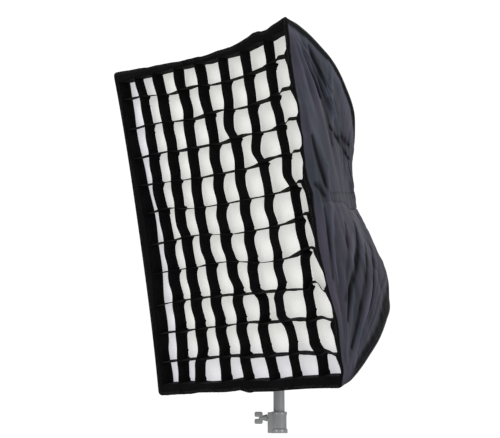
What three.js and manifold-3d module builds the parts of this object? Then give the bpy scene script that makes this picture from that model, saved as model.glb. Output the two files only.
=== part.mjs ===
// Umbrella-type rectangular softbox with a fabric egg-crate grid, on the top of a light stand.
// Millimetres, +Z up, +X right, the open front faces -Y and tilts down.
// Origin: centre of the flat bottom face of the stand collar, pole axis on Z.
import * as THREE from 'three';
import { mergeVertices } from 'three/addons/utils/BufferGeometryUtils.js';
import Module from 'manifold-3d';

const wasm = await Module();
wasm.setup();
const radians = THREE.MathUtils.degToRad;

// ---------------------------------------------------------------- driving dimensions
const FRONT_W = 600, FRONT_H = 900;
const TILT_DEG = 13.19;                 // face-down tilt at rest
const BOLT_Z = 571.5;                   // tilt bolt height above the collar base
const BOLT_DEPTH = 253.3;               // bolt behind the front plane, along the shaft
const SHAFT_OVER_BOLT = 28;             // shaft axis above the bolt

const FABRIC = 1;                       // panel thickness
const SEAM_GAP_SIDE = 0.5, SEAM_GAP_TOP = 0.35;
const SAG = { top: 25, left: 6, bottom: 3, right: 0 };  // inward bow of each front edge
const SAG_DEPTH = 300;                  // depth at which the sag has died out

const HEM_HALF_T = 0.6;
const HEM_W_SIDE = 19, HEM_W_TOP = 36, HEM_W_BOTTOM = 24;
const GRID_W = 566, GRID_TOP = 414.3, GRID_BOTTOM = -428.6;
const GRID_Y = 1.2, GRID_D = 35, GRID_COLS = 8, GRID_ROWS = 11, GRID_T = 1.4;
const DIFFUSER_Y = 37.4, DIFFUSER_T = 1, DIFFUSER_GAP = 3.4;
const STRIP_Y = 42, STRIP_W = 20, STRIP_T = 1.2, STRIP_INSET = 2.4;
const SLIT_HALF = 18, SLIT_Y0 = 30, SLIT_Y1 = 352;

const SHAFT_R = 5, SHAFT_BORE_R = 4.1, SHAFT_Y0 = 150, SHAFT_Y1 = 592;
const SLEEVE_R = SHAFT_R + 0.35;        // bore of the parts fixed on the shaft
const RIB_R = 2;
const PIN_R = 1.2, PIN_HOLE_R = 1.5;
// Places in the plane of a rib: [radius from the shaft axis, depth]
const CROWN_PIVOT = [17, 562];
const RUNNER_PIVOT = [14, 480];
const CLIP_POINT = [102, 536.4];        // where the stretcher meets the rib
const STRETCHER_SHORT = 2.4;            // the stretcher ends this far before the clip point
const BUTTON_Y = RUNNER_PIVOT[1] - 20;

const POLE_R = 15, POLE_TOP = 500;
const THUMB_AZ = 219.14;                // direction the collar thumbscrew points, degrees
const THUMB_Z = 40;
const SPIGOT_KNOB_Z = 526;
const BOLT_R = 3, BOLT_HOLE_R = 3.4;
const KNOB_STEM_R = 3.1, STEM_HOLE_R = 3.5;
const EAR_R = 13;                       // rounded tongue and cheeks about the tilt bolt
const TONGUE_HALF = 6, CHEEK_IN = 6.4, HEAD_HALF = 14;

// Canopy, front to apex: [depth, radius of the upper ribs, radius of the lower ribs,
// how far the right and left panels are drawn in half way between their ribs]
const PROFILE = [
  [0, 541, 541, 0], [40, 530, 533, 0], [108, 509, 514, 6], [184, 480, 487.5, 18],
  [282, 435, 450, 36], [370, 377.5, 406, 60], [458, 306, 346, 65], [497, 252, 292, 48],
  [524, 202, 234, 28], [551, 120, 135, 8], [566, 70, 75, 3], [573, 45, 46, 1], [577, 30, 30, 0],
];
const UPPER = 1, LOWER = 2, PINCH = 3;  // columns of PROFILE
const APEX_Y = PROFILE.at(-1)[0];
// Depths of the panel vertices, starting just behind the hem
const STATIONS = [1, ...PROFILE.slice(1).map(([y]) => y)];

// Rib centre line, front part: [depth on the canopy, distance inside it]
const RIB_INSETS = [
  [14, 12.5], [60, 11], [108, 9], [184, 8], [282, 8],
  [370, 8], [458, 8], [497, 8], [524, 8], [551, 8],
];
// Rib centre line, rear part into the crown: [radius, depth]
const RIB_TAIL = [[66, 559], [40, 562], [24, 562]];

// Unit direction of the front corner diagonal, and of the four ribs in (x, z)
const DIAGONAL = Math.hypot(FRONT_W / 2, FRONT_H / 2);
const CORNER_X = FRONT_W / 2 / DIAGONAL, CORNER_Z = FRONT_H / 2 / DIAGONAL;
const RIB_DIRECTIONS = {
  top_right: [CORNER_X, CORNER_Z],
  top_left: [-CORNER_X, CORNER_Z],
  bottom_left: [-CORNER_X, -CORNER_Z],
  bottom_right: [CORNER_X, -CORNER_Z],
};
const SIDES = ['right', 'left', 'top', 'bottom'];

// ---------------------------------------------------------------- materials
const NYLON = { color: 0x23242b, roughness: 0.5, metalness: 0 };
const WEB = { color: 0x141416, roughness: 0.85, metalness: 0 };
const WHITE = { color: 0xe9e9e4, roughness: 0.8, metalness: 0 };
const GREY = { color: 0x8a8a89, roughness: 0.42, metalness: 0.3 };
const CAST = { color: 0x87878a, roughness: 0.5, metalness: 0.5 };
const BLACK = { color: 0x1c1c1e, roughness: 0.5, metalness: 0 };
const RED = { color: 0x8f1d1d, roughness: 0.5, metalness: 0 };
const STEEL = { color: 0xb4b6b9, roughness: 0.3, metalness: 0.9 };
const RIB_METAL = { color: 0x2c2c2e, roughness: 0.35, metalness: 0.6 };
const BRASS = { color: 0xb59a55, roughness: 0.35, metalness: 0.9 };

// ---------------------------------------------------------------- meshes and solids
function indexed(positions, triangles) {
  const geometry = new THREE.BufferGeometry();
  geometry.setAttribute('position', new THREE.Float32BufferAttribute(positions, 3));
  return geometry.setIndex(triangles);
}

// Welds the vertices, drops collapsed triangles and turns the faces outward
function clean(geometry) {
  const bare = new THREE.BufferGeometry();
  bare.setAttribute('position', geometry.attributes.position);
  bare.setIndex(geometry.index);
  const merged = mergeVertices(bare, 1e-4);
  const positions = merged.attributes.position.array;
  const corners = merged.index.array;
  const vertex = (i) => new THREE.Vector3().fromArray(positions, i * 3);
  const kept = [];
  let volume = 0;
  for (let i = 0; i < corners.length; i += 3) {
    const [first, second, third] = corners.slice(i, i + 3);
    if (first === second || second === third || first === third) continue;
    kept.push(first, second, third);
    volume += vertex(first).dot(vertex(second).cross(vertex(third)));
  }
  if (volume < 0) kept.reverse();
  return indexed(positions, kept);
}

function solid(geometry) {
  const { attributes, index } = clean(geometry);
  return new wasm.Manifold(new wasm.Mesh({
    numProp: 3,
    vertProperties: new Float32Array(attributes.position.array),
    triVerts: new Uint32Array(index.array),
  }));
}

function geometryOf(manifold) {
  const mesh = manifold.getMesh();
  return indexed(mesh.vertProperties, Array.from(mesh.triVerts));
}
const join = (...parts) => geometryOf(parts.map(solid).reduce((sum, part) => sum.add(part)));
const cut = (body, ...tools) => geometryOf(
  tools.map(solid).reduce((rest, tool) => rest.subtract(tool), solid(body)));

function add(parent, name, geometry, finish) {
  const shape = clean(geometry);
  shape.computeVertexNormals();
  const mesh = new THREE.Mesh(shape, new THREE.MeshStandardMaterial(finish));
  mesh.name = name;
  parent.add(mesh);
}

function addGroup(parent, position = [0, 0, 0], rotation = [0, 0, 0]) {
  const group = new THREE.Group();
  group.position.set(...position);
  group.rotation.set(...rotation);
  parent.add(group);
  return group;
}

// ---------------------------------------------------------------- shapes
// Box from its [low, high] range on each axis
const box = ([x0, x1], [y0, y1], [z0, z1]) => new THREE.BoxGeometry(x1 - x0, y1 - y0, z1 - z0)
  .translate((x0 + x1) / 2, (y0 + y1) / 2, (z0 + z1) / 2);

// Cylinder along an axis; the offset is in the two other axes, in x, y, z order
function rod(axis, radius, [start, end], offset = [0, 0], segments = 16) {
  const cylinder = new THREE.CylinderGeometry(radius, radius, end - start, segments)
    .translate(0, (start + end) / 2, 0);
  if (axis === 'x') return cylinder.rotateZ(-Math.PI / 2).translate(0, ...offset);
  if (axis === 'y') return cylinder.translate(offset[0], 0, offset[1]);
  return cylinder.rotateX(Math.PI / 2).translate(...offset, 0);
}

// Turned part from [radius, station] points; closes on itself when it has a bore
function lathe(axis, points, segments) {
  const profile = points.map(([radius, station]) => new THREE.Vector2(radius, station));
  if (points[0][0] > 0 || points.at(-1)[0] > 0) profile.push(profile[0].clone());
  const turned = new THREE.LatheGeometry(profile, segments);
  if (axis === 'x') turned.rotateZ(-Math.PI / 2);
  if (axis === 'z') turned.rotateX(Math.PI / 2);
  return turned;
}

const vectors = (points) => points.map(([x, y]) => new THREE.Vector2(x, y));

// Plate outlined in (x, y), from z0 to z1
function plate(points, z0, z1, holes = []) {
  const shape = new THREE.Shape(vectors(points));
  shape.holes = holes.map((hole) => new THREE.Path(vectors(hole)));
  return new THREE.ExtrudeGeometry(shape, { depth: z1 - z0, bevelEnabled: false })
    .translate(0, 0, z0);
}

// Plate outlined in (x, z), from y0 to y1
const uprightPlate = (points, y0, y1, holes) => plate(points, -y1, -y0, holes)
  .rotateX(Math.PI / 2);

// Wavy ring of points, for knobs
const lobed = (radius, wave, lobes, count) => Array.from({ length: count }, (_, i) => {
  const angle = (2 * Math.PI * i) / count;
  const reach = radius + wave * Math.cos(angle * lobes);
  return [reach * Math.cos(angle), reach * Math.sin(angle)];
});

const circle = ([x, y], radius, count = 10) => lobed(radius, 0, 0, count)
  .map(([dx, dy]) => [x + dx, y + dy]);

// Outline of a bar with round ends centred on the start and end points
function stadium(start, end, radius) {
  const steps = 5;
  const heading = Math.atan2(end[1] - start[1], end[0] - start[0]);
  const points = [];
  for (const [centre, from] of [[end, heading - Math.PI / 2], [start, heading + Math.PI / 2]]) {
    for (let i = 0; i <= steps; i++) {
      const angle = from + (Math.PI * i) / steps;
      points.push([centre[0] + radius * Math.cos(angle), centre[1] + radius * Math.sin(angle)]);
    }
  }
  return points;
}

// Thin curved slab, each vertex given by pointAt(row, column, face) with face 0 or 1. Both faces
// are split along the same diagonals, so they keep their distance where the sheet is warped.
function sheet(rows, columns, pointAt) {
  const positions = [], triangles = [];
  const id = (row, column, face) => (face * (rows + 1) + row) * (columns + 1) + column;
  const quad = (a, b, c, d, turned = false) => {
    triangles.push(...(turned ? [b, c, d, b, d, a] : [a, b, c, a, c, d]));
  };
  for (let face = 0; face < 2; face++) {
    for (let i = 0; i <= rows; i++) {
      for (let j = 0; j <= columns; j++) positions.push(...pointAt(i, j, face));
    }
  }
  for (let i = 0; i < rows; i++) {
    for (let j = 0; j < columns; j++) {
      const [near, far] = [0, 1].map((face) => [
        id(i, j, face), id(i + 1, j, face), id(i + 1, j + 1, face), id(i, j + 1, face)]);
      quad(near[0], near[3], near[2], near[1], j < columns / 2);
      quad(...far, j < columns / 2);
    }
  }
  for (let i = 0; i < rows; i++) {
    quad(id(i, 0, 0), id(i + 1, 0, 0), id(i + 1, 0, 1), id(i, 0, 1));
    quad(id(i, columns, 0), id(i, columns, 1), id(i + 1, columns, 1), id(i + 1, columns, 0));
  }
  for (let j = 0; j < columns; j++) {
    quad(id(0, j, 0), id(0, j, 1), id(0, j + 1, 1), id(0, j + 1, 0));
    quad(id(rows, j, 0), id(rows, j + 1, 0), id(rows, j + 1, 1), id(rows, j, 1));
  }
  return indexed(positions, triangles);
}

// ---------------------------------------------------------------- canopy surface
// A column of PROFILE, read at any depth
function profileAt(y, column) {
  const next = PROFILE.findIndex(([depth], i) => i > 0 && y <= depth);
  const before = PROFILE[next - 1], after = PROFILE[next];
  const share = (y - before[0]) / (after[0] - before[0]);
  return before[column] + (after[column] - before[column]) * share;
}

function slopeAt(y, column) {
  const step = 6;
  const front = Math.max(0, y - step), rear = Math.min(APEX_Y, y + step);
  return (profileAt(rear, column) - profileAt(front, column)) / (rear - front);
}

const sagFade = (y) => (y < SAG_DEPTH ? (1 - y / SAG_DEPTH) ** 2 : 0);
const isLateral = (side) => side === 'right' || side === 'left';

// Panel surface at depth y, across from -1 to 1: its distance out from the shaft axis and the
// half width of the panel. `square` moves in square to the fabric, `inward` towards the axis.
function panelPoint(side, y, across, { square = 0, inward = 0 } = {}) {
  const lateral = isLateral(side);
  const [facing, other] = lateral ? [CORNER_X, CORNER_Z] : [CORNER_Z, CORNER_X];
  let low = side === 'bottom' ? 1 : 0;  // share of the lower rib's curve
  if (lateral) low = (1 - across) / 2;
  const radius = profileAt(y, UPPER) * (1 - low) + profileAt(y, LOWER) * low;
  const slope = slopeAt(y, UPPER) * (1 - low) + slopeAt(y, LOWER) * low;
  const pinchShape = across >= 0 ? 1 - across * across : (1 + across) ** 1.6;
  const pinch = lateral ? profileAt(y, PINCH) * pinchShape : 0;
  const flat = facing * radius - square * Math.hypot(1, slope * facing) - inward;
  return {
    out: flat - SAG[side] * sagFade(y) * (1 - across * across) - pinch,
    reach: (other / facing) * flat - (lateral ? SEAM_GAP_SIDE : SEAM_GAP_TOP),
  };
}

// Softbox coordinates of a place on a side
function onSide(side, y, along, out) {
  const signed = side === 'right' || side === 'top' ? out : -out;
  return isLateral(side) ? [signed, y, along] : [along, y, signed];
}

// ---------------------------------------------------------------- stand stub
function buildStand(root) {
  const stand = addGroup(root);
  const azimuth = radians(THUMB_AZ);

  const boss = box([8.6, 30.6], [-12.5, 12.5], [5, 51]).rotateZ(azimuth);
  const stemHole = rod('x', STEM_HOLE_R, [13, 34], [0, THUMB_Z]).rotateZ(azimuth);
  const poleHole = rod('z', POLE_R + 0.35, [6, 60], [0, 0], 28);
  const collar = lathe('z', [
    [0, 0], [21.6, 0], [22, 0.8], [22, 6.4], [21.4, 7.2], [20, 8], [20, 47.5],
    [21.4, 48.6], [22.4, 49.4], [22.4, 55], [21.6, 56], [0, 56],
  ], 28);
  add(stand, 'stand_collar', cut(join(collar, boss), poleHole, stemHole), CAST);

  add(stand, 'stand_pole', lathe('z', [
    [0, 8], [POLE_R - 1, 8], [POLE_R, 9],
    [POLE_R, POLE_TOP - 1], [POLE_R - 1, POLE_TOP], [0, POLE_TOP],
  ], 28), GREY);

  // [radius, height above the pole]
  add(stand, 'spigot', lathe('z', [
    [0, 0.4], [11, 0.4], [11, 7], [10, 8], [8, 8], [8, 21],
    [6.8, 23], [6.8, 30], [8, 32], [8, 38.5], [6.5, 40], [0, 40],
  ], 16).translate(0, 0, POLE_TOP), STEEL);

  const screw = addGroup(stand, [0, 0, 0], [0, 0, azimuth]);
  const stem = lathe('x', [
    [0, 16.2], [3, 16.2], [3, 31], [9, 31.2], [9, 34], [7, 45], [7, 52], [5, 55], [0, 55],
  ], 20);
  const wing = (sign) => uprightPlate([
    [46, 3], [50, 2.6], [64, 4.2], [66, 8], [65.6, 14], [62, 17.2], [56, 17.4], [50, 15], [47, 9],
  ].map(([x, z]) => [x, z * sign]), -6, 6);
  const thumbscrew = join(stem, wing(1), wing(-1), box([45, 52], [-6, 6], [-5, 5]));
  add(screw, 'collar_thumbscrew', thumbscrew.translate(0, 0, THUMB_Z), CAST);
}

// ---------------------------------------------------------------- bracket base on the spigot
function buildBracketBase(root) {
  const base = join(
    rod('z', 15, [511, 546], [0, 0], 20),
    box([-TONGUE_HALF, TONGUE_HALF], [-EAR_R, EAR_R], [544, BOLT_Z]),
    rod('x', EAR_R, [-TONGUE_HALF, TONGUE_HALF], [0, BOLT_Z], 20));
  add(root, 'bracket_base', cut(base,
    rod('z', 8.6, [505, 541.5]),
    rod('x', BOLT_HOLE_R, [-10, 10], [0, BOLT_Z]),
    rod('y', STEM_HOLE_R, [4, 20], [0, SPIGOT_KNOB_Z])), BLACK);

  const grip = uprightPlate(lobed(10, 0.9, 9, 36), 20, 32);
  const knob = join(grip, rod('y', KNOB_STEM_R, [8.6, 20.5]));
  add(root, 'spigot_knob', knob.translate(0, 0, SPIGOT_KNOB_Z), BLACK);
}

// ---------------------------------------------------------------- tilting head, origin on the bolt
function buildHead(root) {
  const head = addGroup(root, [0, 0, BOLT_Z], [radians(TILT_DEG), 0, 0]);

  const cheeks = [[CHEEK_IN, HEAD_HALF], [-HEAD_HALF, -CHEEK_IN]].flatMap((range) => [
    box(range, [-EAR_R, EAR_R], [0, 17]), rod('x', EAR_R, range, [0, 0], 20)]);
  const block = join(box([-HEAD_HALF, HEAD_HALF], [-20, 20], [16, 40]), ...cheeks);
  add(head, 'bracket_head', cut(block,
    rod('y', SHAFT_R + 0.4, [-30, 30], [0, SHAFT_OVER_BOLT], 24),
    rod('x', BOLT_HOLE_R, [-20, 20]),
    rod('x', STEM_HOLE_R, [-20, -3], [0, SHAFT_OVER_BOLT])), BLACK);

  add(head, 'tilt_bolt', lathe('x', [
    [0, -19.4], [6.5, -19.4], [6.5, -14.4], [BOLT_R, -14.4], [BOLT_R, 20], [0, 20],
  ], 16), STEEL);

  const hub = lathe('x', [[0, 14.4], [8, 14.4], [8, 26], [6.5, 27.4], [0, 27.4]], 20);
  const handle = new THREE.CylinderGeometry(4.2, 3, 46, 12)
    .translate(0, 27, 0).rotateX(radians(125)).translate(21, 0, 0);
  add(head, 'tilt_lever', cut(join(hub, handle), rod('x', BOLT_HOLE_R, [10, 20.8])), BLACK);

  const grip = plate(lobed(9.6, 1.4, 5, 30), -30, -18).rotateY(Math.PI / 2);
  const knob = join(grip, rod('x', KNOB_STEM_R, [-18.4, -5.7]));
  add(head, 'shaft_knob', knob.translate(0, 0, SHAFT_OVER_BOLT), BLACK);

  // Channel section in (x, z), open at the top between its lips
  add(head, 'cold_shoe', uprightPlate([
    [-12, 40.3], [12, 40.3], [12, 48.4], [7.6, 48.4], [7.6, 46.6], [10.2, 46.6],
    [10.2, 43.3], [-10.2, 43.3], [-10.2, 46.6], [-7.6, 46.6], [-7.6, 48.4], [-12, 48.4],
  ], -11, 11), STEEL);
  return head;
}

// ---------------------------------------------------------------- shaft, crown and runner
function buildShaft(softbox) {
  const addTurned = (name, profile, segments, finish) => {
    add(softbox, name, lathe('y', profile, segments), finish);
  };
  addTurned('shaft', [
    [SHAFT_BORE_R, SHAFT_Y0], [SHAFT_R, SHAFT_Y0], [SHAFT_R, SHAFT_Y1], [SHAFT_BORE_R, SHAFT_Y1],
  ], 20, STEEL);
  addTurned('shaft_front_cap', [
    [0, 139], [5, 139], [7.5, 142], [7.5, 160], [SLEEVE_R, 160], [SLEEVE_R, 149.6], [0, 149.6],
  ], 20, BLACK);
  addTurned('rear_ferrule', [
    [0, 601], [4, 600], [7.4, 596], [8, 592], [8, 586.8],
    [SLEEVE_R, 586.8], [SLEEVE_R, 592.4], [0, 592.4],
  ], 20, BLACK);
  addTurned('crown_cap', [
    [5.4, 580.4], [24, 580.4], [24, 582], [20, 584.6], [12, 586.2], [5.4, 586.2],
  ], 20, BLACK);
  addTurned('apex_patch', [[5.6, 578.5], [34, 578.5], [34, 579.7], [5.6, 579.7]], 24, WEB);
}

// Rotation about y that carries local +x onto a rib direction
const ribAngle = ([x, z]) => -Math.atan2(z, x);
const atEachRib = (makeTool) => Object.values(RIB_DIRECTIONS)
  .map((direction) => makeTool().rotateY(ribAngle(direction)));
const pinHole = (pivot) => rod('z', PIN_HOLE_R, [-8, 8], pivot, 10);

function buildCrown(softbox) {
  const crown = lathe('y', [
    [SLEEVE_R, 540], [10, 540], [11, 541], [11, 551], [20, 553],
    [22, 555], [22, 570], [20, 572], [SLEEVE_R, 572],
  ], 20);
  add(softbox, 'crown', cut(crown,
    ...atEachRib(() => box([11.5, 26], [536, 568], [-2.5, 2.5])),
    ...atEachRib(() => pinHole(CROWN_PIVOT))), BLACK);
}

function buildRunner(softbox) {
  const [, pivotY] = RUNNER_PIVOT;
  // [radius, depth from the pivots]
  const runner = lathe('y', [
    [5.5, -34], [13, -34], [14, -33], [12, -29], [12, -7], [19, -5.5], [19, 6], [18, 7], [5.5, 7],
  ], 20).translate(0, pivotY, 0);
  add(softbox, 'runner', cut(runner,
    ...atEachRib(() => box([9.6, 24], [pivotY - 4.5, pivotY + 12], [-1.6, 1.6])),
    ...atEachRib(() => pinHole(RUNNER_PIVOT)),
    rod('z', 4.3, [-16, -7.3], [0, BUTTON_Y])), BLACK);
  add(softbox, 'runner_button', lathe('z', [
    [0, -14.6], [2.6, -14.4], [3.8, -13.4], [4, -12.6], [4, -9.6], [0, -9.6],
  ], 16).translate(0, BUTTON_Y, 0), RED);
}

// ---------------------------------------------------------------- ribs and stretchers
// [radius, depth] of a point inside the canopy, under its surface at depth y
function insetPoint(y, inset, column) {
  const slope = slopeAt(y, column), length = Math.hypot(1, slope);
  return [profileAt(y, column) - inset / length, y - (inset * Math.abs(slope)) / length];
}

// Rib wire with its crown eye and the riveted clip that takes the stretcher
function ribShape(line) {
  const points = line.map(([radius, y]) => new THREE.Vector3(radius, y, 0));
  const wire = new THREE.ExtrudeGeometry(new THREE.Shape(vectors(circle([0, 0], RIB_R, 6))), {
    steps: 16,
    bevelEnabled: false,
    extrudePath: new THREE.CatmullRomCurve3(points, false, 'catmullrom', 0.4),
  });
  const eye = plate(stadium(CROWN_PIVOT, [26, CROWN_PIVOT[1]], 3.6), -1.5, 1.5,
    [circle(CROWN_PIVOT, PIN_HOLE_R)]);
  const fromClip = (x, y) => [CLIP_POINT[0] + x, CLIP_POINT[1] + y];
  const clip = cut(
    plate(stadium(CLIP_POINT, fromClip(3.4, 11.6), 4.2), -3.2, 3.2),
    plate(stadium(fromClip(-1.6, -5), fromClip(0.8, 3), 6.4), -1.9, 1.9));
  const rivet = (z0, z1) => plate(circle(CLIP_POINT, 2), z0, z1);
  return join(wire, eye, clip, rivet(-4.1, -3), rivet(3, 4.1));
}

function stretcherShape() {
  const [x, y] = RUNNER_PIVOT;
  const dx = CLIP_POINT[0] - x, dy = CLIP_POINT[1] - y;
  const length = Math.hypot(dx, dy);
  const share = (length - STRETCHER_SHORT) / length;
  return plate(stadium(RUNNER_PIVOT, [x + dx * share, y + dy * share], 2.6), -1.2, 1.2,
    [circle(RUNNER_PIVOT, PIN_HOLE_R)]);
}

// One rib set, drawn in a frame with x outward along the rib direction and y back
function buildRib(softbox, corner, direction) {
  const frame = addGroup(softbox, [0, 0, 0], [0, ribAngle(direction), 0]);
  const column = corner.startsWith('top') ? UPPER : LOWER;
  const line = [...RIB_INSETS.map(([y, inset]) => insetPoint(y, inset, column)), ...RIB_TAIL];
  const [tip, second] = line;
  const lean = Math.atan2(second[1] - tip[1], second[0] - tip[0]);
  // Stations of these turned parts run from the rib tip back along the rib
  const alongTip = (profile) => lathe('y', profile, 8)
    .rotateZ(lean - Math.PI / 2).translate(...tip, 0);

  add(frame, `rib_${corner}`, ribShape(line), RIB_METAL);
  add(frame, `rib_tip_${corner}`, alongTip([
    [0, -3.6], [2, -3.4], [3.1, -2.2], [3.1, 12], [2.4, 12], [2.4, -0.5], [0, -0.5],
  ]), BLACK);
  add(frame, `corner_pocket_${corner}`, alongTip([
    [0, -5.2], [3.2, -5.2], [4.5, -4], [4.5, 9], [3.6, 9], [3.6, -4.1], [0, -4.1],
  ]), WEB);
  add(frame, `crown_pin_${corner}`, rod('z', PIN_R, [-6, 6], CROWN_PIVOT, 8), STEEL);
  add(frame, `runner_pin_${corner}`, rod('z', PIN_R, [-5.5, 5.5], RUNNER_PIVOT, 8), STEEL);
  add(frame, `stretcher_${corner}`, stretcherShape(), RIB_METAL);
}

// ---------------------------------------------------------------- canopy panels
const slitTool = () => box([-SLIT_HALF, SLIT_HALF], [SLIT_Y0, SLIT_Y1], [-470, -290]);

function buildPanel(softbox, side) {
  const columns = isLateral(side) ? 8 : 6;
  const panel = sheet(STATIONS.length - 1, columns, (row, column, face) => {
    const y = STATIONS[row], across = (2 * column) / columns - 1;
    const { out, reach } = panelPoint(side, y, across, { square: face * FABRIC });
    return onSide(side, y, across * reach, out);
  });
  add(softbox, `panel_${side}`, side === 'bottom' ? cut(panel, slitTool()) : panel, NYLON);
}

// Loop strip inside the front lip, for the diffuser
function buildLoopStrip(softbox, side) {
  const [half, full] = isLateral(side) ? [400, FRONT_H / 2] : [250, FRONT_W / 2];
  const columns = 6;
  add(softbox, `loop_strip_${side}`, sheet(1, columns, (row, column, face) => {
    const y = STRIP_Y + STRIP_W * row, along = ((2 * column) / columns - 1) * half;
    const inward = STRIP_INSET + STRIP_T * face;
    return onSide(side, y, along, panelPoint(side, y, along / full, { inward }).out);
  }), WEB);
}

// ---------------------------------------------------------------- hem, grid, diffuser
// Closed outline in (x, z) with its edges bowed in between the corners; `corner` is the
// [x, z] setback of cut corners
function outline(halfW, halfH, sag, corner = [0, 0]) {
  const steps = 6, points = [];
  const endX = halfW - corner[0], endZ = halfH - corner[1];
  const skip = corner[0] ? 0 : 1;       // sharp corners are shared by two edges
  const bow = (along, full) => 1 - (along / full) ** 2;
  const edge = (first, last, pointAt) => {
    for (let i = first; i <= last; i++) points.push(pointAt(-1 + (2 * i) / steps));
  };
  edge(0, steps, (t) => [t * endX, -halfH + sag.bottom * bow(t * endX, halfW)]);
  edge(skip, steps, (t) => [halfW, t * endZ]);
  edge(skip, steps, (t) => [-t * endX, halfH - sag.top * bow(t * endX, halfW)]);
  edge(skip, steps - skip, (t) => [-halfW + sag.left * bow(t * endZ, halfH), -t * endZ]);
  return points;
}

function buildHem(softbox) {
  const innerHalfH = (FRONT_H - HEM_W_TOP - HEM_W_BOTTOM) / 2;
  const shiftZ = (HEM_W_BOTTOM - HEM_W_TOP) / 2;
  const opening = outline(FRONT_W / 2 - HEM_W_SIDE, innerHalfH, { ...SAG, top: SAG.top - 3 })
    .map(([x, z]) => [x, z + shiftZ]);
  add(softbox, 'front_hem', uprightPlate(
    outline(FRONT_W / 2, FRONT_H / 2, SAG), -HEM_HALF_T, HEM_HALF_T, [opening]), WEB);
}

function buildGrid(softbox) {
  const width = [-GRID_W / 2, GRID_W / 2], depth = [GRID_Y, GRID_Y + GRID_D];
  const height = [GRID_BOTTOM, GRID_TOP];
  // [low, high] of each wall across a span, the two outer walls included
  const walls = ([low, high], cells) => Array.from({ length: cells + 1 }, (_, i) => {
    const start = low + ((high - low - GRID_T) * i) / cells;
    return [start, start + GRID_T];
  });
  add(softbox, 'egg_crate_grid', join(
    ...walls(width, GRID_COLS).map((wall) => box(wall, depth, height)),
    ...walls(height, GRID_ROWS).map((wall) => box(width, depth, wall))), WEB);
}

function buildDiffuser(softbox) {
  const radius = profileAt(DIFFUSER_Y, UPPER), fade = sagFade(DIFFUSER_Y);
  const sag = { top: SAG.top * fade, left: SAG.left * fade, bottom: SAG.bottom };
  const halfW = CORNER_X * radius - DIFFUSER_GAP, halfH = CORNER_Z * radius - DIFFUSER_GAP;
  add(softbox, 'front_diffuser', uprightPlate(
    outline(halfW, halfH, sag, [20, 30]), DIFFUSER_Y, DIFFUSER_Y + DIFFUSER_T), WHITE);
}

// ---------------------------------------------------------------- slit zip in the bottom panel
const TAPE_Y = [22, 40, 108, 184, 282, 362], TAPE_X = [-30, -22, 0, 22, 30];
const TAPE_GAP = 0.7, TAPE_T = 0.9;

function buildZipTape(softbox) {
  const tape = sheet(TAPE_Y.length - 1, TAPE_X.length - 1, (row, column, face) => {
    const y = TAPE_Y[row], x = TAPE_X[column];
    const across = x / (CORNER_X * profileAt(y, LOWER));
    const square = -(TAPE_GAP + TAPE_T * (1 - face));
    return onSide('bottom', y, x, panelPoint('bottom', y, across, { square }).out);
  });
  add(softbox, 'zip_tape', cut(tape, slitTool()), WEB);
}

// `slope` is that of the bottom panel in degrees; the pull points to +y or -y
function buildSlider(softbox, name, { y, slope, pullSign }) {
  const place = onSide('bottom', y, 0, panelPoint('bottom', y, 0).out);
  const group = addGroup(softbox, place, [radians(slope), 0, 0]);
  const body = uprightPlate([[-6, -2.4], [6, -2.4], [5, -6.6], [-5, -6.6]], -7, 7);
  const pull = plate(stadium([0, 2], [0, 24 * pullSign], 3.6), -8.4, -6.4);
  add(group, name, join(body, pull), BRASS);
}

// ---------------------------------------------------------------- assembly
const root = new THREE.Group();
buildStand(root);
buildBracketBase(root);
const head = buildHead(root);

// Softbox frame: origin at the front centre, y back along the shaft
const softbox = addGroup(head, [0, -BOLT_DEPTH, SHAFT_OVER_BOLT]);
buildShaft(softbox);
buildCrown(softbox);
buildRunner(softbox);
for (const [corner, direction] of Object.entries(RIB_DIRECTIONS)) {
  buildRib(softbox, corner, direction);
}
for (const side of SIDES) buildPanel(softbox, side);
for (const side of SIDES) buildLoopStrip(softbox, side);
buildHem(softbox);
buildGrid(softbox);
buildDiffuser(softbox);
buildZipTape(softbox);
buildSlider(softbox, 'zip_slider_front', { y: 25, slope: 9.4, pullSign: 1 });
buildSlider(softbox, 'zip_slider_rear', { y: 359, slope: 22.6, pullSign: -1 });

export default root;
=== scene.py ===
"""A rectangular softbox with an egg-crate grid, tilted back on a stand pole.

Softbox points are in millimetres: x right, y back from the front plane, z up along the front.
The origin is where the shaft axis meets the front plane, and to_row() turns them into metres.
Stand points are in millimetres about the pole's axis, z up. Four ribs run from the front
corners to the apex behind. A "part" is (points, faces, fab), where fab is the cloth coordinate
in metres that the weave follows.
"""
import math

import bpy
import numpy as np
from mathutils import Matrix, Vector


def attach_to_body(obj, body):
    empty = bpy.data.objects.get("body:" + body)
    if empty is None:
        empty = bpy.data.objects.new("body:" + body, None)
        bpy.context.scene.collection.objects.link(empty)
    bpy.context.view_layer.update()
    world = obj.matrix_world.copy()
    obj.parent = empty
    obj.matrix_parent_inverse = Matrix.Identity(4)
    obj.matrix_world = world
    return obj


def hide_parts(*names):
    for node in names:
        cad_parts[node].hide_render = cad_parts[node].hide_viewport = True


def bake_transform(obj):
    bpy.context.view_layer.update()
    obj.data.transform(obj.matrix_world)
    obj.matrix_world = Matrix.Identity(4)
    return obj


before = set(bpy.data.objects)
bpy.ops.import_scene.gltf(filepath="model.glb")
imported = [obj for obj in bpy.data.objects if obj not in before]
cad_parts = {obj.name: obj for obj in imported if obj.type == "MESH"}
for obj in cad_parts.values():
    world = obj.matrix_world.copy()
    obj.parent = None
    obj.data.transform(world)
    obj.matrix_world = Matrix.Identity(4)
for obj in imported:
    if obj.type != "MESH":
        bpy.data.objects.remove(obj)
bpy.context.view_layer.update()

# ------------------------------------------------------------------ driving dimensions
HALF_W, HALF_H = 300, 450               # half the front opening
TILT = math.radians(13.19)              # tilt of the softbox at rest
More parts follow.
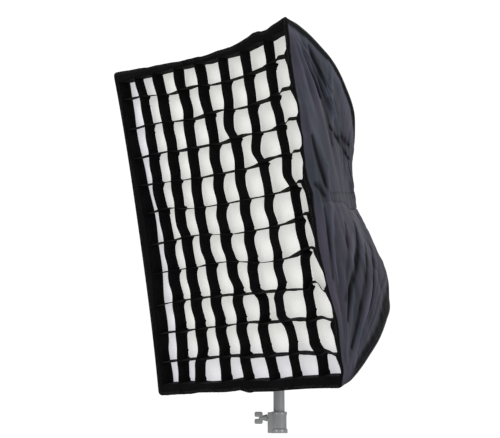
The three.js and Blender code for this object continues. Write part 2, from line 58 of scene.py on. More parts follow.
PIVOT_Y, PIVOT_Z = 253.3, -28.0         # tilt bolt in softbox millimetres
BOLT_Z = 571.5                          # height of the tilt bolt
RIB_FRONT = 541                         # rib's distance from the axis at the front
CLOTH_END = 577                         # depth where the cloth ends at the apex
CX = HALF_W / math.hypot(HALF_W, HALF_H)    # share of a rib's distance that lies along x
CZ = HALF_H / math.hypot(HALF_W, HALF_H)    # and along z

QUADRANTS = {"top_right": (1, 1), "top_left": (-1, 1),
             "bottom_left": (-1, -1), "bottom_right": (1, -1)}
CORNER_RADII = {(1, 1): 2.0, (-1, 1): 11.0, (-1, -1): 12.0, (1, -1): 6.0}
CORNER_DEPTH = 34                       # the corner rounding dies out by this depth
LATERAL = ("right", "left")
SIDES = ("right", "left", "top", "bottom")
SEEDS = {"right": 11, "left": 23, "top": 37, "bottom": 53}


def across(side):
    """A panel's rib share along its width, and half its width at the front."""
    return (CZ, HALF_H) if side in LATERAL else (CX, HALF_W)


def side_names(sx, sz):
    """The lateral side and the end side that meet in a quadrant."""
    return "right" if sx > 0 else "left", "top" if sz > 0 else "bottom"


def to_row(points):
    """Softbox millimetres to metres in the product's frame."""
    points = np.asarray(points, float)
    y, z = points[..., 1] - PIVOT_Y, points[..., 2] - PIVOT_Z
    cos, sin = math.cos(TILT), math.sin(TILT)
    return np.stack([points[..., 0], y * cos - z * sin, BOLT_Z + y * sin + z * cos], -1) / 1000


def round_corners(points):
    """Rounds the four front corners of anything made of cloth."""
    p = np.array(points, float)
    for (sx, sz), radius_ in CORNER_RADII.items():
        core_x, core_z = HALF_W - radius_, HALF_H - radius_
        over_x, over_z = sx * p[..., 0] - core_x, sz * p[..., 2] - core_z
        inside = (over_x > 0) & (over_z > 0)
        squeeze = np.maximum(over_x, over_z) / (np.hypot(over_x, over_z) + 1e-9)
        fade = np.clip(1 - np.maximum(p[..., 1], 0) / CORNER_DEPTH, 0, 1) ** 2
        k = 1 + (squeeze - 1) * fade
        p[..., 0] = np.where(inside, sx * (core_x + over_x * k), p[..., 0])
        p[..., 2] = np.where(inside, sz * (core_z + over_z * k), p[..., 2])
    return p


# ------------------------------------------------------------------ lines through points
def smooth(a, b, x):
    """Eases from 0 at a to 1 at b."""
    t = np.clip((np.asarray(x, float) - a) / (b - a), 0, 1)
    return t * t * (3 - 2 * t)


def curve(xs, ys):
    """A smooth line through points without overshoot, level beyond both ends."""
    xs, ys = np.array(xs, float), np.array(ys, float)
    gaps = np.diff(xs)
    slopes = np.diff(ys) / gaps
    m = np.zeros_like(ys)
    for k in range(1, len(xs) - 1):
        if slopes[k - 1] * slopes[k] > 0:
            w1, w2 = 2 * gaps[k] + gaps[k - 1], gaps[k] + 2 * gaps[k - 1]
            m[k] = (w1 + w2) / (w1 / slopes[k - 1] + w2 / slopes[k])
    m[0], m[-1] = slopes[0], slopes[-1]

    def value(x):
        x = np.asarray(x, float)
        k = np.clip(np.searchsorted(xs, x, side="right") - 1, 0, len(xs) - 2)
        gap = gaps[k]
        t = np.clip((x - xs[k]) / gap, 0, 1)
        return ((1 + 2 * t) * (1 - t) ** 2 * ys[k] + t * (1 - t) ** 2 * gap * m[k]
                + t * t * (3 - 2 * t) * ys[k + 1] + t * t * (t - 1) * gap * m[k + 1])
    return value


def eased(xs, ys):
    """A line that eases from each point to the next and is level at every point."""
    xs, ys = np.array(xs, float), np.array(ys, float)

    def value(x):
        k = np.clip(np.searchsorted(xs, x) - 1, 0, len(xs) - 2)
        t = smooth(xs[k], xs[k + 1], x)
        return ys[k] * (1 - t) + ys[k + 1] * t
    return value


def lopsided(z, peak, below, above):
    """A bump at peak with its own width below and above."""
    return np.exp(-((z - peak) / np.where(z < peak, below, above)) ** 2)


def quarter_round(t):
    """Height of a quarter circle, rising from 0 at t=0 to 1 at t=1."""
    return np.sqrt(1 - (1 - np.clip(t, 0, 1)) ** 2)


# ------------------------------------------------------------------ shape of the canopy
# Distance from the shaft axis to a rib (second row) at each depth (first row).
rib_mean = curve([0, 40, 108, 184, 282, 370, 458, 497, 524, 551, 566, 573, CLOTH_END],
                 [RIB_FRONT, 525, 500, 470, 427, 374, 306, 252, 202, 120, 70, 45, 30])
KNOTS = [0, 60, 140, 220, 300, 380, 450, 510, 550, CLOTH_END]
# Outward bow of the ribs at those depths: the lower ones bow further than the upper ones.
upper_bow = curve(KNOTS, [0, 7, 10, 10, 7, 3, 0, 0, 0, 0])
lower_bow = curve(KNOTS, [0, 11, 16, 19, 24, 33, 42, 41, 16, 0])
# How far the side cloth is drawn in, its lower half swells, and the top cloth is drawn down.
waist = curve([0, 40] + KNOTS[1:], [0, 0, 3, 12, 24, 40, 62, 66, 40, 8, 0])
belly = curve(KNOTS, [0, 3.5, 9, 14, 15.5, 15.5, 13, 9, 3.5, 0])
crown_dip = curve(KNOTS, [0, 1, 6, 11, 15, 18, 16, 10, 3, 0])


def radius(y, up=1):
    """Distance of an upper (up > 0) or lower rib from the axis."""
    y = np.asarray(y, float)
    return rib_mean(y) + np.where(np.asarray(up) > 0, upper_bow(y), lower_bow(y))


# Arc length along the rib, so that rows of the cloth are evenly spaced.
DEPTHS = np.linspace(0, CLOTH_END, 1200)
ARCS = np.concatenate([[0], np.cumsum(np.hypot(np.diff(DEPTHS), np.diff(rib_mean(DEPTHS))))])
ARC = ARCS[-1]


def depth_at(s):
    return np.interp(s, ARCS, DEPTHS)


def arc_at(y):
    return np.interp(y, DEPTHS, ARCS)


def section(side, y, v):
    """A panel's distance from the axis and place along its width, at depth y.

    v runs from -1 to 1 between its two ribs.
    """
    y, v = np.broadcast_arrays(np.asarray(y, float), np.asarray(v, float))
    upper, lower = radius(y, 1), radius(y, -1)
    if side in LATERAL:
        t = (1 - v) / 2
        in_share = np.clip(1 - np.abs(v), 0, 1)
        pinch = np.where(v >= 0, 1 - v * v, in_share ** 1.6)
        swell = np.where(v < 0, np.sin(math.pi * np.clip(np.abs(v), 0, 1)), 0)
        distance = CX * (upper * (1 - t) + lower * t) - waist(y) * pinch + belly(y) * swell
        return distance, CZ * (upper * (1 - t) - lower * t)
    if side == "top":
        return CZ * upper - crown_dip(y) * (1 - v * v), CX * upper * v
    return CZ * lower + 0 * v, CX * lower * v


# How far each front edge bows inwards: place along the edge, then the bow.
def left_sag(z):
    t = np.abs(np.clip(np.asarray(z, float) / HALF_H, -1, 1))
    return 12.3 * (1 - t ** 2.6)


SAG = {
    "left": left_sag,
    "top": curve(
        [-300, -281, -258, -235, -212, -189, -167, -144, -122, -101, -79, -58, -37, -16, 5, 26,
         46, 77, 97, 117, 137, 158, 178, 198, 208, 226, 238, 255, 275, 294, 300],
        [0, 1.2, 3.6, 6.6, 8.6, 11.2, 14.8, 15.8, 18, 19.8, 22, 25, 26.4, 27.6, 28.2, 31.2,
         31, 29.2, 29.8, 30, 28, 24, 19.5, 13.9, 13.9, 16.6, 16.2, 10.6, 6, 1, 0]),
    "bottom": curve(
        [-300, -272, -227, -183, -150, -108, -66, -25, -10, 4, 18, 34, 90, 140, 213, 257, 300],
        [0, 0, 0.8, 0.8, 3.4, 2.8, 1.8, 3.6, 4.8, 1.4, -1.8, -0.6, -1.2, 0.6, 2, 1.6, 0]),
    "right": curve(
        [-450, -442, -404, -385, -347, -309, -290, -271, -251, -232, -193, -173, -154, -134, -95,
         -57, -18, 20, 40, 60, 80, 99, 138, 157, 177, 234, 254, 313, 353, 391, 450],
        [0, -2, -14, -12.6, -13.7, -17, -17, -13.9, -11.5, -7.7, -3.6, -1.7, 2.4, 5, 6.4,
         4.5, 4.1, 2.6, 6.5, 9.4, 10, 7.7, 5.3, 3.4, 5, 1, 3.5, 5.6, 5.6, 1.8, 0]),
}


def edge_fade(y, side="left"):
    """How much of the front edge's bow is still there at depth y."""
    reach = 170 if side == "right" else 300
    return np.clip(1 - y / reach, 0, 1) ** 2


# Long folds of the side cloth: points (distance back along the cloth, height), then
# width, outward height and painted shade (below 0 darker, above 0 lighter).
CREASES = [
    ([(102, 334), (133, 302), (170, 268)], 9, -3.0, -0.34),
    ([(120, 392), (157, 355), (225, 300)], 12, -3.2, -0.36),
    ([(225, 270), (279, 239)], 9, -2.4, -0.26),
    ([(228, 196), (258, 180), (398, 155), (542, 129)], 8, -3.4, -0.42),
    ([(322, 196), (527, 167)], 11, -2.2, -0.26),
    ([(60, 160), (87, 100), (110, 52), (137, 7)], 13, -3.2, -0.30),
    ([(150, 90), (126, 43), (120, -23), (87, -96), (65, -203)], 9, 3.6, 0.24),
    ([(38, 39), (94, 13)], 14, -2.5, -0.30),
    ([(70, -20), (66, -100), (40, -190)], 14, -2.4, -0.22),
    ([(268, 329), (270, 247), (250, 180)], 12, 2.6, 0.20),
    ([(250, 370), (404, 287), (521, 204), (675, 130)], 14, 3.0, 0.26),
    ([(340, -60), (270, -124), (131, -231), (81, -299)], 13, -3.4, -0.34),
    ([(250, -90), (200, -139), (108, -229)], 11, 2.4, 0.18),
    ([(380, -120), (293, -182), (159, -307), (89, -368)], 12, -3.0, -0.30),
    ([(303, -222), (209, -313), (85, -409)], 11, 2.6, 0.18),
    ([(420, -150), (340, -215), (240, -300), (120, -385)], 10, -2.4, -0.24),
    ([(210, -60), (170, -150), (90, -250)], 12, -2.2, -0.18),
    ([(160, 330), (210, 240), (230, 150)], 16, -1.8, -0.16),
    ([(60, 300), (80, 200), (120, 110)], 15, 1.8, 0.12),
    ([(480, -30), (400, -80), (330, -140)], 14, 2.0, 0.14),
    ([(560, -40), (470, -110), (390, -190)], 12, -2.2, -0.20),
]


def creases(side, s, z):
    """Height in mm and painted shade of the long folds; the left side has them upside down."""
    s, z = np.broadcast_arrays(np.asarray(s, float), z * (1 if side == "right" else -0.94))
    height, painted_shade = np.zeros(s.shape), np.zeros(s.shape)
    for points, width, rise, shade in CREASES:
        legs = list(zip(points[:-1], points[1:]))
        total = sum(math.dist(a, b) for a, b in legs)
        nearest, along, done = np.full(s.shape, 1e9), np.zeros(s.shape), 0.0
        for (s0, z0), (s1, z1) in legs:
            leg = math.dist((s0, z0), (s1, z1))
            t = np.clip(((s - s0) * (s1 - s0) + (z - z0) * (z1 - z0)) / leg ** 2, 0, 1)
            gap = np.hypot(s - s0 - t * (s1 - s0), z - z0 - t * (z1 - z0))
            closer = gap < nearest
            nearest = np.where(closer, gap, nearest)
            along = np.where(closer, (done + t * leg) / total, along)
            done += leg
        taper = 0.45 + 0.8 * np.sin(math.pi * np.clip(along, 0.03, 0.97))
        ridge = np.exp(-(nearest / (width * taper)) ** 2)
        height += rise * ridge
        painted_shade += shade * ridge
    return height, painted_shade


def wrinkles(side, s, v):
    """Outward displacement in mm of a panel at arc length s and place v from -1 to 1."""
    rng = np.random.default_rng(SEEDS[side])
    uniform = rng.uniform
    u = s / ARC
    a = 1 - np.abs(v)                            # 0 at the rib seam, 1 on the mid line
    d = np.zeros_like(u)
    # tension folds that fan from the two front corners
    for half in (1, -1):
        mask = smooth(-0.05, 0.05, half * v)
        for k in range(12):
            target = 0.06 + 0.078 * k + uniform(-0.03, 0.03)
            height = uniform(1.6, 4.4) * rng.choice([1, 1, -1])
            power = uniform(1.2, 2.6)
            bend = uniform(-0.04, 0.04)
            line = target * (1 - (1 - a) ** power) + bend * np.sin(math.pi * a)
            width = (6 + 26 * a * uniform(0.6, 1.3)) / ARC
            start, stop = uniform(0.02, 0.2), uniform(0.6, 1.1)
            reach = (smooth(0, 0.18, a - start * 0.5)
                     * (1 - smooth(stop - 0.3, stop, a) * 0.85))
            ridge = np.exp(-((u - line) / width) ** 2)
            trough = 0.45 * np.exp(-((u - line - 1.9 * width) / (1.3 * width)) ** 2)
            d += mask * height * reach * (ridge - trough)
    # soft crumples
    for _ in range(16):
        wave_s, wave_v = uniform(0.045, 0.14), uniform(0.2, 0.8)
        phase, sway, sway_phase, gain = (uniform(0, 1), uniform(0.6, 1.6), uniform(0, 1),
                                         uniform(0.3, 0.9))
        angle = (2 * math.pi * (u / wave_s + v / wave_v + phase)
                 + 1.8 * np.sin(2 * math.pi * (v * sway + sway_phase)))
        d += (0.12 + 5.5 * wave_s) * np.sin(angle) * gain * 0.7
    if side in LATERAL:
        d = d * 0.75 + creases(side, s, section(side, depth_at(s), v)[1])[0]
    # the cloth is flat at the seams and at both ends
    d *= smooth(0, 0.09, a) * smooth(0.0, 0.04, u) * (1 - smooth(0.93, 1.0, u)) * 0.98 + 0.02
    # the mid seam draws the cloth in a little
    d -= 2.2 * np.exp(-(v / 0.012) ** 2) * smooth(0.03, 0.1, u)
    return d


def panel_xyz(side, s, v, lift=0.0, inner=0.0, d=None):
    """Points of a panel, moved out by lift or in by inner.

    s is the arc length from the front edge, v runs across from seam to seam, and d is the
    displacement, which is the wrinkles unless it is given.
    """
    s, v = np.broadcast_arrays(np.asarray(s, float), np.asarray(v, float))
    y = depth_at(s)
    distance, place = section(side, y, v)
    y_before, y_after = np.maximum(y - 1, 0), np.minimum(y + 1, CLOTH_END)
    slope = ((section(side, y_after, v)[0] - section(side, y_before, v)[0])
             / (y_after - y_before))
    normal = np.hypot(1, slope)
    if d is None:
        d = wrinkles(side, s, v)
    off = d + lift - inner
    if side == "right":                          # its lower half is fullest here
        off = off + 8.0 * np.exp(-((place + 215) / 50) ** 2) * np.exp(-((s - 520) / 115) ** 2)
    distance = distance + off / normal
    y_out = y - off * slope / normal
    along = place - v * (0.2 + inner * 0.8)
    share, full = across(side)
    out = distance - SAG[side](along / (share * RIB_FRONT) * full) * edge_fade(y, side)
    if side in ("left", "bottom"):
        out = -out
    return np.stack([out, y_out, along] if side in LATERAL else [along, y_out, out], -1)


# ------------------------------------------------------------------ mesh helpers
def signed_volume(points, quads):
    a, b, c, d = (points[quads[:, k]] for k in range(4))
    return (np.einsum("ij,ij->i", a, np.cross(b, c))
            + np.einsum("ij,ij->i", a, np.cross(c, d))).sum()


def build(name, points, faces, fab, material, sharp=42, painted_shade=None):
    """An object from points in metres, with faces turned outwards and sharp edges marked."""
    faces = [tuple(int(i) for i in f) for f in faces]
    quads = np.array([f if len(f) == 4 else (*f, f[2]) for f in faces])
    if signed_volume(points, quads) < 0:
        faces = [f[::-1] for f in faces]
    mesh = bpy.data.meshes.new(name)
    mesh.from_pydata(points.tolist(), [], faces)
    mesh.materials.append(material)
    mesh.polygons.foreach_set("use_smooth", np.ones(len(mesh.polygons), bool))
    attribute = mesh.attributes.new("fab", "FLOAT_VECTOR", "POINT")
    attribute.data.foreach_set("vector", np.asarray(fab, np.float32).ravel())
    # per-point painted shade of the cloth, read by its material
    if painted_shade is not None:
        attribute = mesh.attributes.new("painted_shade", "FLOAT", "POINT")
        attribute.data.foreach_set("value", np.asarray(painted_shade, np.float32).ravel())
    mesh.update()
    mesh.set_sharp_from_angle(angle=math.radians(sharp))
    ob = bpy.data.objects.new(name, mesh)
    bpy.context.scene.collection.objects.link(ob)
    return ob


def softbox_piece(name, part, material, sharp=42, painted_shade=None):
    points, faces, fab = part
    return build(name, to_row(round_corners(points)), faces, fab, material, sharp, painted_shade)


def fab_map(u, v, shift=0.0):
    """Cloth coordinates from millimetres; shift in metres moves the weave along."""
    return np.stack([u / 1000 + shift, v / 1000, np.zeros_like(u)], -1)


def grid_cells(nu, nv):
    """Corner indices of every cell of a grid, as (nu - 1, nv - 1, 4)."""
    index = np.arange(nu * nv).reshape(nu, nv)
    return np.stack([index[:-1, :-1], index[1:, :-1], index[1:, 1:], index[:-1, 1:]], -1)


def sheet(outer, inner, fab):
    """A closed sheet: the outer grid, then the inner grid, joined round the rim."""
    nu, nv = outer.shape[:2]
    n = nu * nv
    index = np.arange(n).reshape(nu, nv)
    out = grid_cells(nu, nv).reshape(-1, 4)
    edge = [*index[0, :], *index[1:, -1], *index[-1, -2::-1], *index[-2:0:-1, 0]]
    rim = [(a, b, b + n, a + n) for a, b in zip(edge, edge[1:] + edge[:1])]
    return (np.concatenate([outer.reshape(-1, 3), inner.reshape(-1, 3)]),
            np.concatenate([out, out[:, ::-1] + n, np.array(rim)]),
            np.concatenate([fab.reshape(-1, 3)] * 2))


def merge(parts):
    points, faces, fabs, n = [], [], [], 0
    for part_points, part_faces, fab in parts:
        points.append(part_points)
        faces += [tuple(int(i) + n for i in f) for f in part_faces]
        fabs.append(fab)
        n += len(part_points)
    return np.concatenate(points), faces, np.concatenate(fabs)


def tube(path, thickness, seg=10):
    """A tube along a path, closed by low cones. thickness is its radius, or one per point."""
    path = np.asarray(path, float)
    n = len(path)
    tangents = np.gradient(path, axis=0)
    tangents /= np.linalg.norm(tangents, axis=1)[:, None]
    radii = np.broadcast_to(np.asarray(thickness, float), (n,))
    u = np.cross(tangents[0], [0.31, 0.53, 0.79])
    u /= np.linalg.norm(u)
    points, fab, s = [], [], 0.0
    for i, (centre, tangent, r) in enumerate(zip(path, tangents, radii)):
        u = u - tangent * np.dot(u, tangent)
        u /= np.linalg.norm(u)
        w = np.cross(tangent, u)
        if i:
            s += np.linalg.norm(centre - path[i - 1])
        for k in range(seg):
            a = 2 * math.pi * k / seg
            points.append(centre + r * (math.cos(a) * u + math.sin(a) * w))
            fab.append((s / 1000, a * r / 1000, 0))
    turns = [(k, (k + 1) % seg) for k in range(seg)]
    faces = [(i * seg + k, i * seg + l, (i + 1) * seg + l, (i + 1) * seg + k)
             for i in range(n - 1) for k, l in turns]
    start, last = len(points), (n - 1) * seg
    points += [path[0] - tangents[0] * radii[0] * 0.5, path[-1] + tangents[-1] * radii[-1] * 0.5]
    fab += [(0, 0, 0), (s / 1000, 0, 0)]
    faces += [(start, l, k) for k, l in turns]
    faces += [(start + 1, last + k, last + l) for k, l in turns]
    return np.array(points), faces, np.array(fab)


def lathe(profile, seg, axis="z"):
    """A closed turned form from [(radius, station)].

    The profile starts and ends on the axis, or closes on itself.
    """
    points, faces, fab, rings = [], [], [], []
    for r, s in profile:
        first = len(points)
        if r < 1e-6:
            points.append((0, 0, s))
            fab.append((0, s / 1000, 0))
        else:
            for k in range(seg):
                a = 2 * math.pi * k / seg
                points.append((r * math.cos(a), r * math.sin(a), s))
                fab.append((a * r / 1000, s / 1000, 0))
        rings.append(range(first, len(points)))
    pairs = list(zip(rings[:-1], rings[1:]))
    if len(rings[0]) > 1 or len(rings[-1]) > 1:
        pairs.append((rings[-1], rings[0]))
    for a, b in pairs:
        for k in range(seg):
            l = (k + 1) % seg
            if len(a) == 1:
                faces.append((a[0], b[l], b[k]))
            elif len(b) == 1:
                faces.append((a[k], a[l], b[0]))
            else:
                faces.append((a[k], a[l], b[l], b[k]))
    order = {"x": [2, 0, 1], "y": [1, 2, 0], "z": [0, 1, 2]}[axis]
    return np.array(points)[:, order], faces, np.array(fab)


def filleted(points, r):
    """A profile with its corners rounded; ends that lie on the axis stay."""
    out = []
    pts = [np.array(p, float) for p in points]
    for k, p in enumerate(pts):
        if k in (0, len(pts) - 1) and p[0] < 1e-6:
            out.append(tuple(p))
            continue
        back, ahead = pts[k - 1] - p, pts[(k + 1) % len(pts)] - p
        len_back, len_ahead = np.linalg.norm(back), np.linalg.norm(ahead)
        cut = min(r, len_back * 0.45, len_ahead * 0.45)
        start, end = p + back / len_back * cut, p + ahead / len_ahead * cut
        for t in np.linspace(0, 1, 4):
            out.append(tuple((1 - t) ** 2 * start + 2 * t * (1 - t) * p + t * t * end))
    return out


# ------------------------------------------------------------------ material helpers
BLACK, FULL_WHITE = (0, 0, 0), (1, 1, 1)


class Shader:
    """A material with one Principled node. Its helpers add nodes and return their output."""

    def __init__(self, name):
        self.material = bpy.data.materials.new(name)
        self.material.use_nodes = True
        self.tree = self.material.node_tree
        self.tree.nodes.clear()
        output = self.node("OutputMaterial")
        self.principled = self.node("BsdfPrincipled")
        self.put(output.inputs[0], self.principled.outputs[0])

    def node(self, kind, **settings):
        node = self.tree.nodes.new("ShaderNode" + kind)
        for key, value in settings.items():
            setattr(node, key, value)
        return node

    def put(self, socket, value):
        """Links a socket, or sets a number or an RGB colour."""
        if isinstance(value, bpy.types.NodeSocket):
            self.tree.links.new(value, socket)
        else:
            socket.default_value = (*value, 1) if isinstance(value, tuple) else value

    def surface(self, values):
        for name, value in values.items():
            self.put(self.principled.inputs[name], value)

    def coords(self, scale=(1, 1, 1), source="fab"):
        """Scaled cloth coordinates, or object coordinates."""
        if source == "fab":
            vector = self.node("Attribute", attribute_name="fab").outputs["Vector"]
        else:
            vector = self.node("TexCoord").outputs["Object"]
        mapping = self.node("Mapping")
        self.put(mapping.inputs[0], vector)
        mapping.inputs["Scale"].default_value = scale
        return mapping.outputs[0]

    def noise(self, vector, scale, detail=4, rough=0.55, distort=0.0):
        node = self.node("TexNoise")
        for name, value in (("Vector", vector), ("Scale", scale), ("Detail", detail),
                            ("Roughness", rough), ("Distortion", distort)):
            self.put(node.inputs[name], value)
        return node.outputs["Fac"]

    def ramp(self, factor, stops):
        node = self.node("ValToRGB")
        self.put(node.inputs[0], factor)
        elements = node.color_ramp.elements
        while len(elements) < len(stops):
            elements.new(0.5)
        for element, (position, colour) in zip(elements, stops):
            element.position = position
            element.color = (*colour, 1)
        return node.outputs[0]

    def mask(self, factor, low, high):
        return self.ramp(factor, [(low, BLACK), (high, FULL_WHITE)])

    def grey(self, colour):
        node = self.node("RGBToBW")
        self.put(node.inputs[0], colour)
        return node.outputs[0]

    def math(self, operation, *values):
        node = self.node("Math", operation=operation)
        for socket, value in zip(node.inputs, values):
            self.put(socket, value)
        return node.outputs[0]

    def mix(self, factor, a, b, blend="MIX"):
        node = self.node("Mix", data_type="RGBA", blend_type=blend)
        for k, value in ((0, factor), (6, a), (7, b)):
            self.put(node.inputs[k], value)
        return node.outputs[2]

    def weave(self, vector, scale):
        """Crossed threads along both cloth directions."""
        waves = []
        for direction in "XY":
            node = self.node("TexWave", bands_direction=direction)
            self.put(node.inputs["Vector"], vector)
            self.put(node.inputs["Scale"], scale)
            waves.append(node.outputs["Fac"])
        return self.math("MULTIPLY", *waves)

    def bump(self, height, strength, distance, before=None):
        node = self.node("Bump")
        self.put(node.inputs["Strength"], strength)
        self.put(node.inputs["Distance"], distance)
        self.put(node.inputs["Height"], height)
        if before is not None:
            self.put(node.inputs["Normal"], before)
        return node.outputs[0]

    def roughness(self, factor, limits):
        """Maps the middle of a noise onto the least and greatest roughness."""
        node = self.node("MapRange")
        for k, value in enumerate((factor, 0.3, 0.7, *limits)):
            self.put(node.inputs[k], value)
        self.surface({"Roughness": node.outputs[0]})


def fabric(name, dark, light, rough, streak, crumple, specular, weave=0.0009,
           weave_strength=0.35, sheen=0.15, sheen_tint=(1, 1, 1), source="fab", with_painted_shade=False):
    """Woven cloth: dark to light streaks, threads weave metres apart, and a crumpled bump."""
    sh = Shader(name)
    vector = sh.coords(source=source)
    streaks = sh.noise(sh.coords(streak, source), scale=1.0, detail=5, rough=0.6, distort=0.4)
    patches = sh.noise(vector, scale=9.0, rough=0.6)
    fine = sh.noise(vector, scale=420.0, detail=2, rough=0.6)
    blend = sh.math("MULTIPLY_ADD", streaks, 0.65, sh.math("MULTIPLY", patches, 0.35))
    colour = sh.ramp(blend, [(0.41, dark), (0.59, light)])
    threads = sh.weave(vector, 0.159 / weave)
    colour = sh.mix(sh.math("MULTIPLY", threads, 0.22), colour, BLACK)
    fleck = tuple(min(1, c * 1.8) for c in light)
    colour = sh.mix(sh.math("MULTIPLY", fine, 0.18), colour, fleck)
    sh.surface({"Specular IOR Level": specular})
    if with_painted_shade:                                    # painted shade of the folds: valleys painted darker, ridges painted lighter
        painted_shade = sh.node("Attribute", attribute_name="painted_shade").outputs["Fac"]
        shade = sh.ramp(painted_shade, [(0.0, (0.05, 0.05, 0.055)), (0.5, (0.50, 0.51, 0.53)),
                               (1.0, (1.0, 0.99, 1.0))])
        colour = sh.mix(1.0, colour, shade, "MULTIPLY")
        # the gloss is dimmed with the painted shade as well
        gloss = sh.math("MULTIPLY", sh.grey(shade), specular * 1.8)
        sh.surface({"Specular IOR Level": gloss})
    sh.roughness(patches, rough)
    folds = sh.noise(sh.coords((streak[0] * 2.2, streak[1] * 2.2, 1), source),
                     scale=1.0, detail=5, rough=0.6, distort=0.6)
    normal = sh.bump(folds, strength=crumple, distance=0.004)
    normal = sh.bump(threads, strength=weave_strength, distance=0.0002, before=normal)
    sh.surface({"Base Color": colour, "Normal": normal, "Sheen Weight": sheen,
                "Sheen Tint": sheen_tint, "Sheen Roughness": 0.4, "Coat Roughness": 0.4})
    return sh.material


def hard(name, base, alt, rough, grain, grain_bump, metal=0.0, wear=0.0, wear_col=None,
         stretch=(1, 1, 1)):
    """Paint, metal or plastic: two close colours, a fine grain, and worn edges."""
    sh = Shader(name)
    vector = sh.coords(stretch, "object")
    patches = sh.noise(vector, scale=40.0, rough=0.6)
    fine = sh.noise(vector, scale=grain, detail=3, rough=0.6)
    colour = sh.ramp(patches, [(0.3, base), (0.7, alt)])
    if wear:
        edges = sh.mask(sh.node("NewGeometry").outputs["Pointiness"], 0.52, 0.60)
        scratches = sh.mask(sh.noise(vector, scale=220.0, detail=5, rough=0.7), 0.45, 0.6)
        worn = sh.grey(sh.mix(1, edges, scratches, "MULTIPLY"))
        colour = sh.mix(sh.math("MULTIPLY", worn, wear), colour, wear_col)
    sh.roughness(fine, rough)
    sh.surface({"Base Color": colour, "Metallic": metal,
                "Normal": sh.bump(fine, strength=grain_bump, distance=0.0006)})
    return sh.material


def diffusion_cloth():
    """White cloth with a painted glow, turning lavender towards the left and the bottom."""
    sh = Shader("white_diffusion_cloth")
    vector = sh.coords()
    streaks = sh.noise(sh.coords((16, 5, 1)), scale=1.0, detail=5, distort=0.8)
    patches = sh.noise(vector, scale=14.0, rough=0.6)
    colour = sh.ramp(streaks, [(0.3, (0.72, 0.72, 0.695)), (0.7, (0.77, 0.77, 0.745))])
    split = sh.node("SeparateXYZ")
    sh.put(split.inputs[0], vector)
    left = sh.mask(sh.math("MULTIPLY_ADD", split.outputs[0], -1.6, 0.0), 0.28, 0.47)
    low = sh.mask(sh.math("MULTIPLY_ADD", split.outputs[1], -1.6, 0.0), 0.50, 0.70)
    tint = sh.math("MINIMUM", sh.grey(sh.mix(1, left, low, "ADD")), 1.0)
    colour = sh.mix(sh.math("MULTIPLY", tint, 0.85), colour, (0.76, 0.75, 0.82))
    threads = sh.weave(vector, 170)
    colour = sh.mix(sh.math("MULTIPLY", threads, 0.03), colour, (0.5, 0.5, 0.5))
    normal = sh.bump(streaks, strength=0.7, distance=0.010)
    normal = sh.bump(patches, strength=0.25, distance=0.003, before=normal)
    normal = sh.bump(threads, strength=0.3, distance=0.0002, before=normal)
    # the emission is painted light: no lamp lights the cloth from behind, and the glow evens out
    # the shade of the grid strips
    sh.surface({"Base Color": colour, "Roughness": 0.85, "Specular IOR Level": 0.2,
                "Sheen Weight": 0.15, "Emission Color": colour, "Emission Strength": 0.575,
                "Normal": normal})
    return sh.material


# ------------------------------------------------------------------ materials
SHELL = fabric("shell_nylon", (0.019, 0.032, 0.049), (0.060, 0.050, 0.079),
               rough=(0.45, 0.62), streak=(7, 3, 1), crumple=0.18, specular=0.20,
               sheen=0.004, sheen_tint=(0.6, 0.65, 0.9), with_painted_shade=True)
WEB = fabric("black_webbing", (0.0014, 0.0014, 0.0017), (0.0042, 0.0040, 0.0042),
             rough=(0.72, 0.9), streak=(14, 14, 1), crumple=0.25, specular=0.05,
             weave=0.0014, weave_strength=0.5, sheen=0.02)
GRID_CLOTH = fabric("grid_cloth", (0.0016, 0.0016, 0.0022), (0.0040, 0.0038, 0.0042),
                    rough=(0.78, 0.95), streak=(20, 20, 1), crumple=0.3, specular=0.08,
                    weave=0.0011, weave_strength=0.4, sheen=0.015)
POCKET_WEB = fabric("pocket_webbing", (0.0045, 0.0045, 0.005), (0.010, 0.0095, 0.0095),
                    rough=(0.7, 0.9), streak=(60, 60, 60), crumple=0.2, specular=0.22,
                    weave=0.0014, weave_strength=0.6, sheen=0.05, source="object")
PIPING = fabric("piping_cloth", (0.005, 0.005, 0.006), (0.012, 0.012, 0.013),
                rough=(0.55, 0.75), streak=(40, 40, 1), crumple=0.2, specular=0.35,
                weave=0.001, sheen=0.1)
THREAD = fabric("stitch_thread", (0.02, 0.02, 0.022), (0.05, 0.05, 0.055),
                rough=(0.5, 0.7), streak=(200, 200, 1), crumple=0.1, specular=0.4,
                weave=0.0004, sheen=0.2)
POLE_PAINT = hard("pole_grey_paint", (0.305, 0.305, 0.308), (0.335, 0.335, 0.336),
                  rough=(0.38, 0.5), metal=0.15, grain=500, grain_bump=0.12,
                  wear=0.5, wear_col=(0.4, 0.4, 0.4))
CAST = hard("collar_cast_grey", (0.275, 0.275, 0.278), (0.31, 0.31, 0.311),
            rough=(0.4, 0.58), metal=0.15, grain=350, grain_bump=0.4,
            wear=0.7, wear_col=(0.55, 0.55, 0.55))
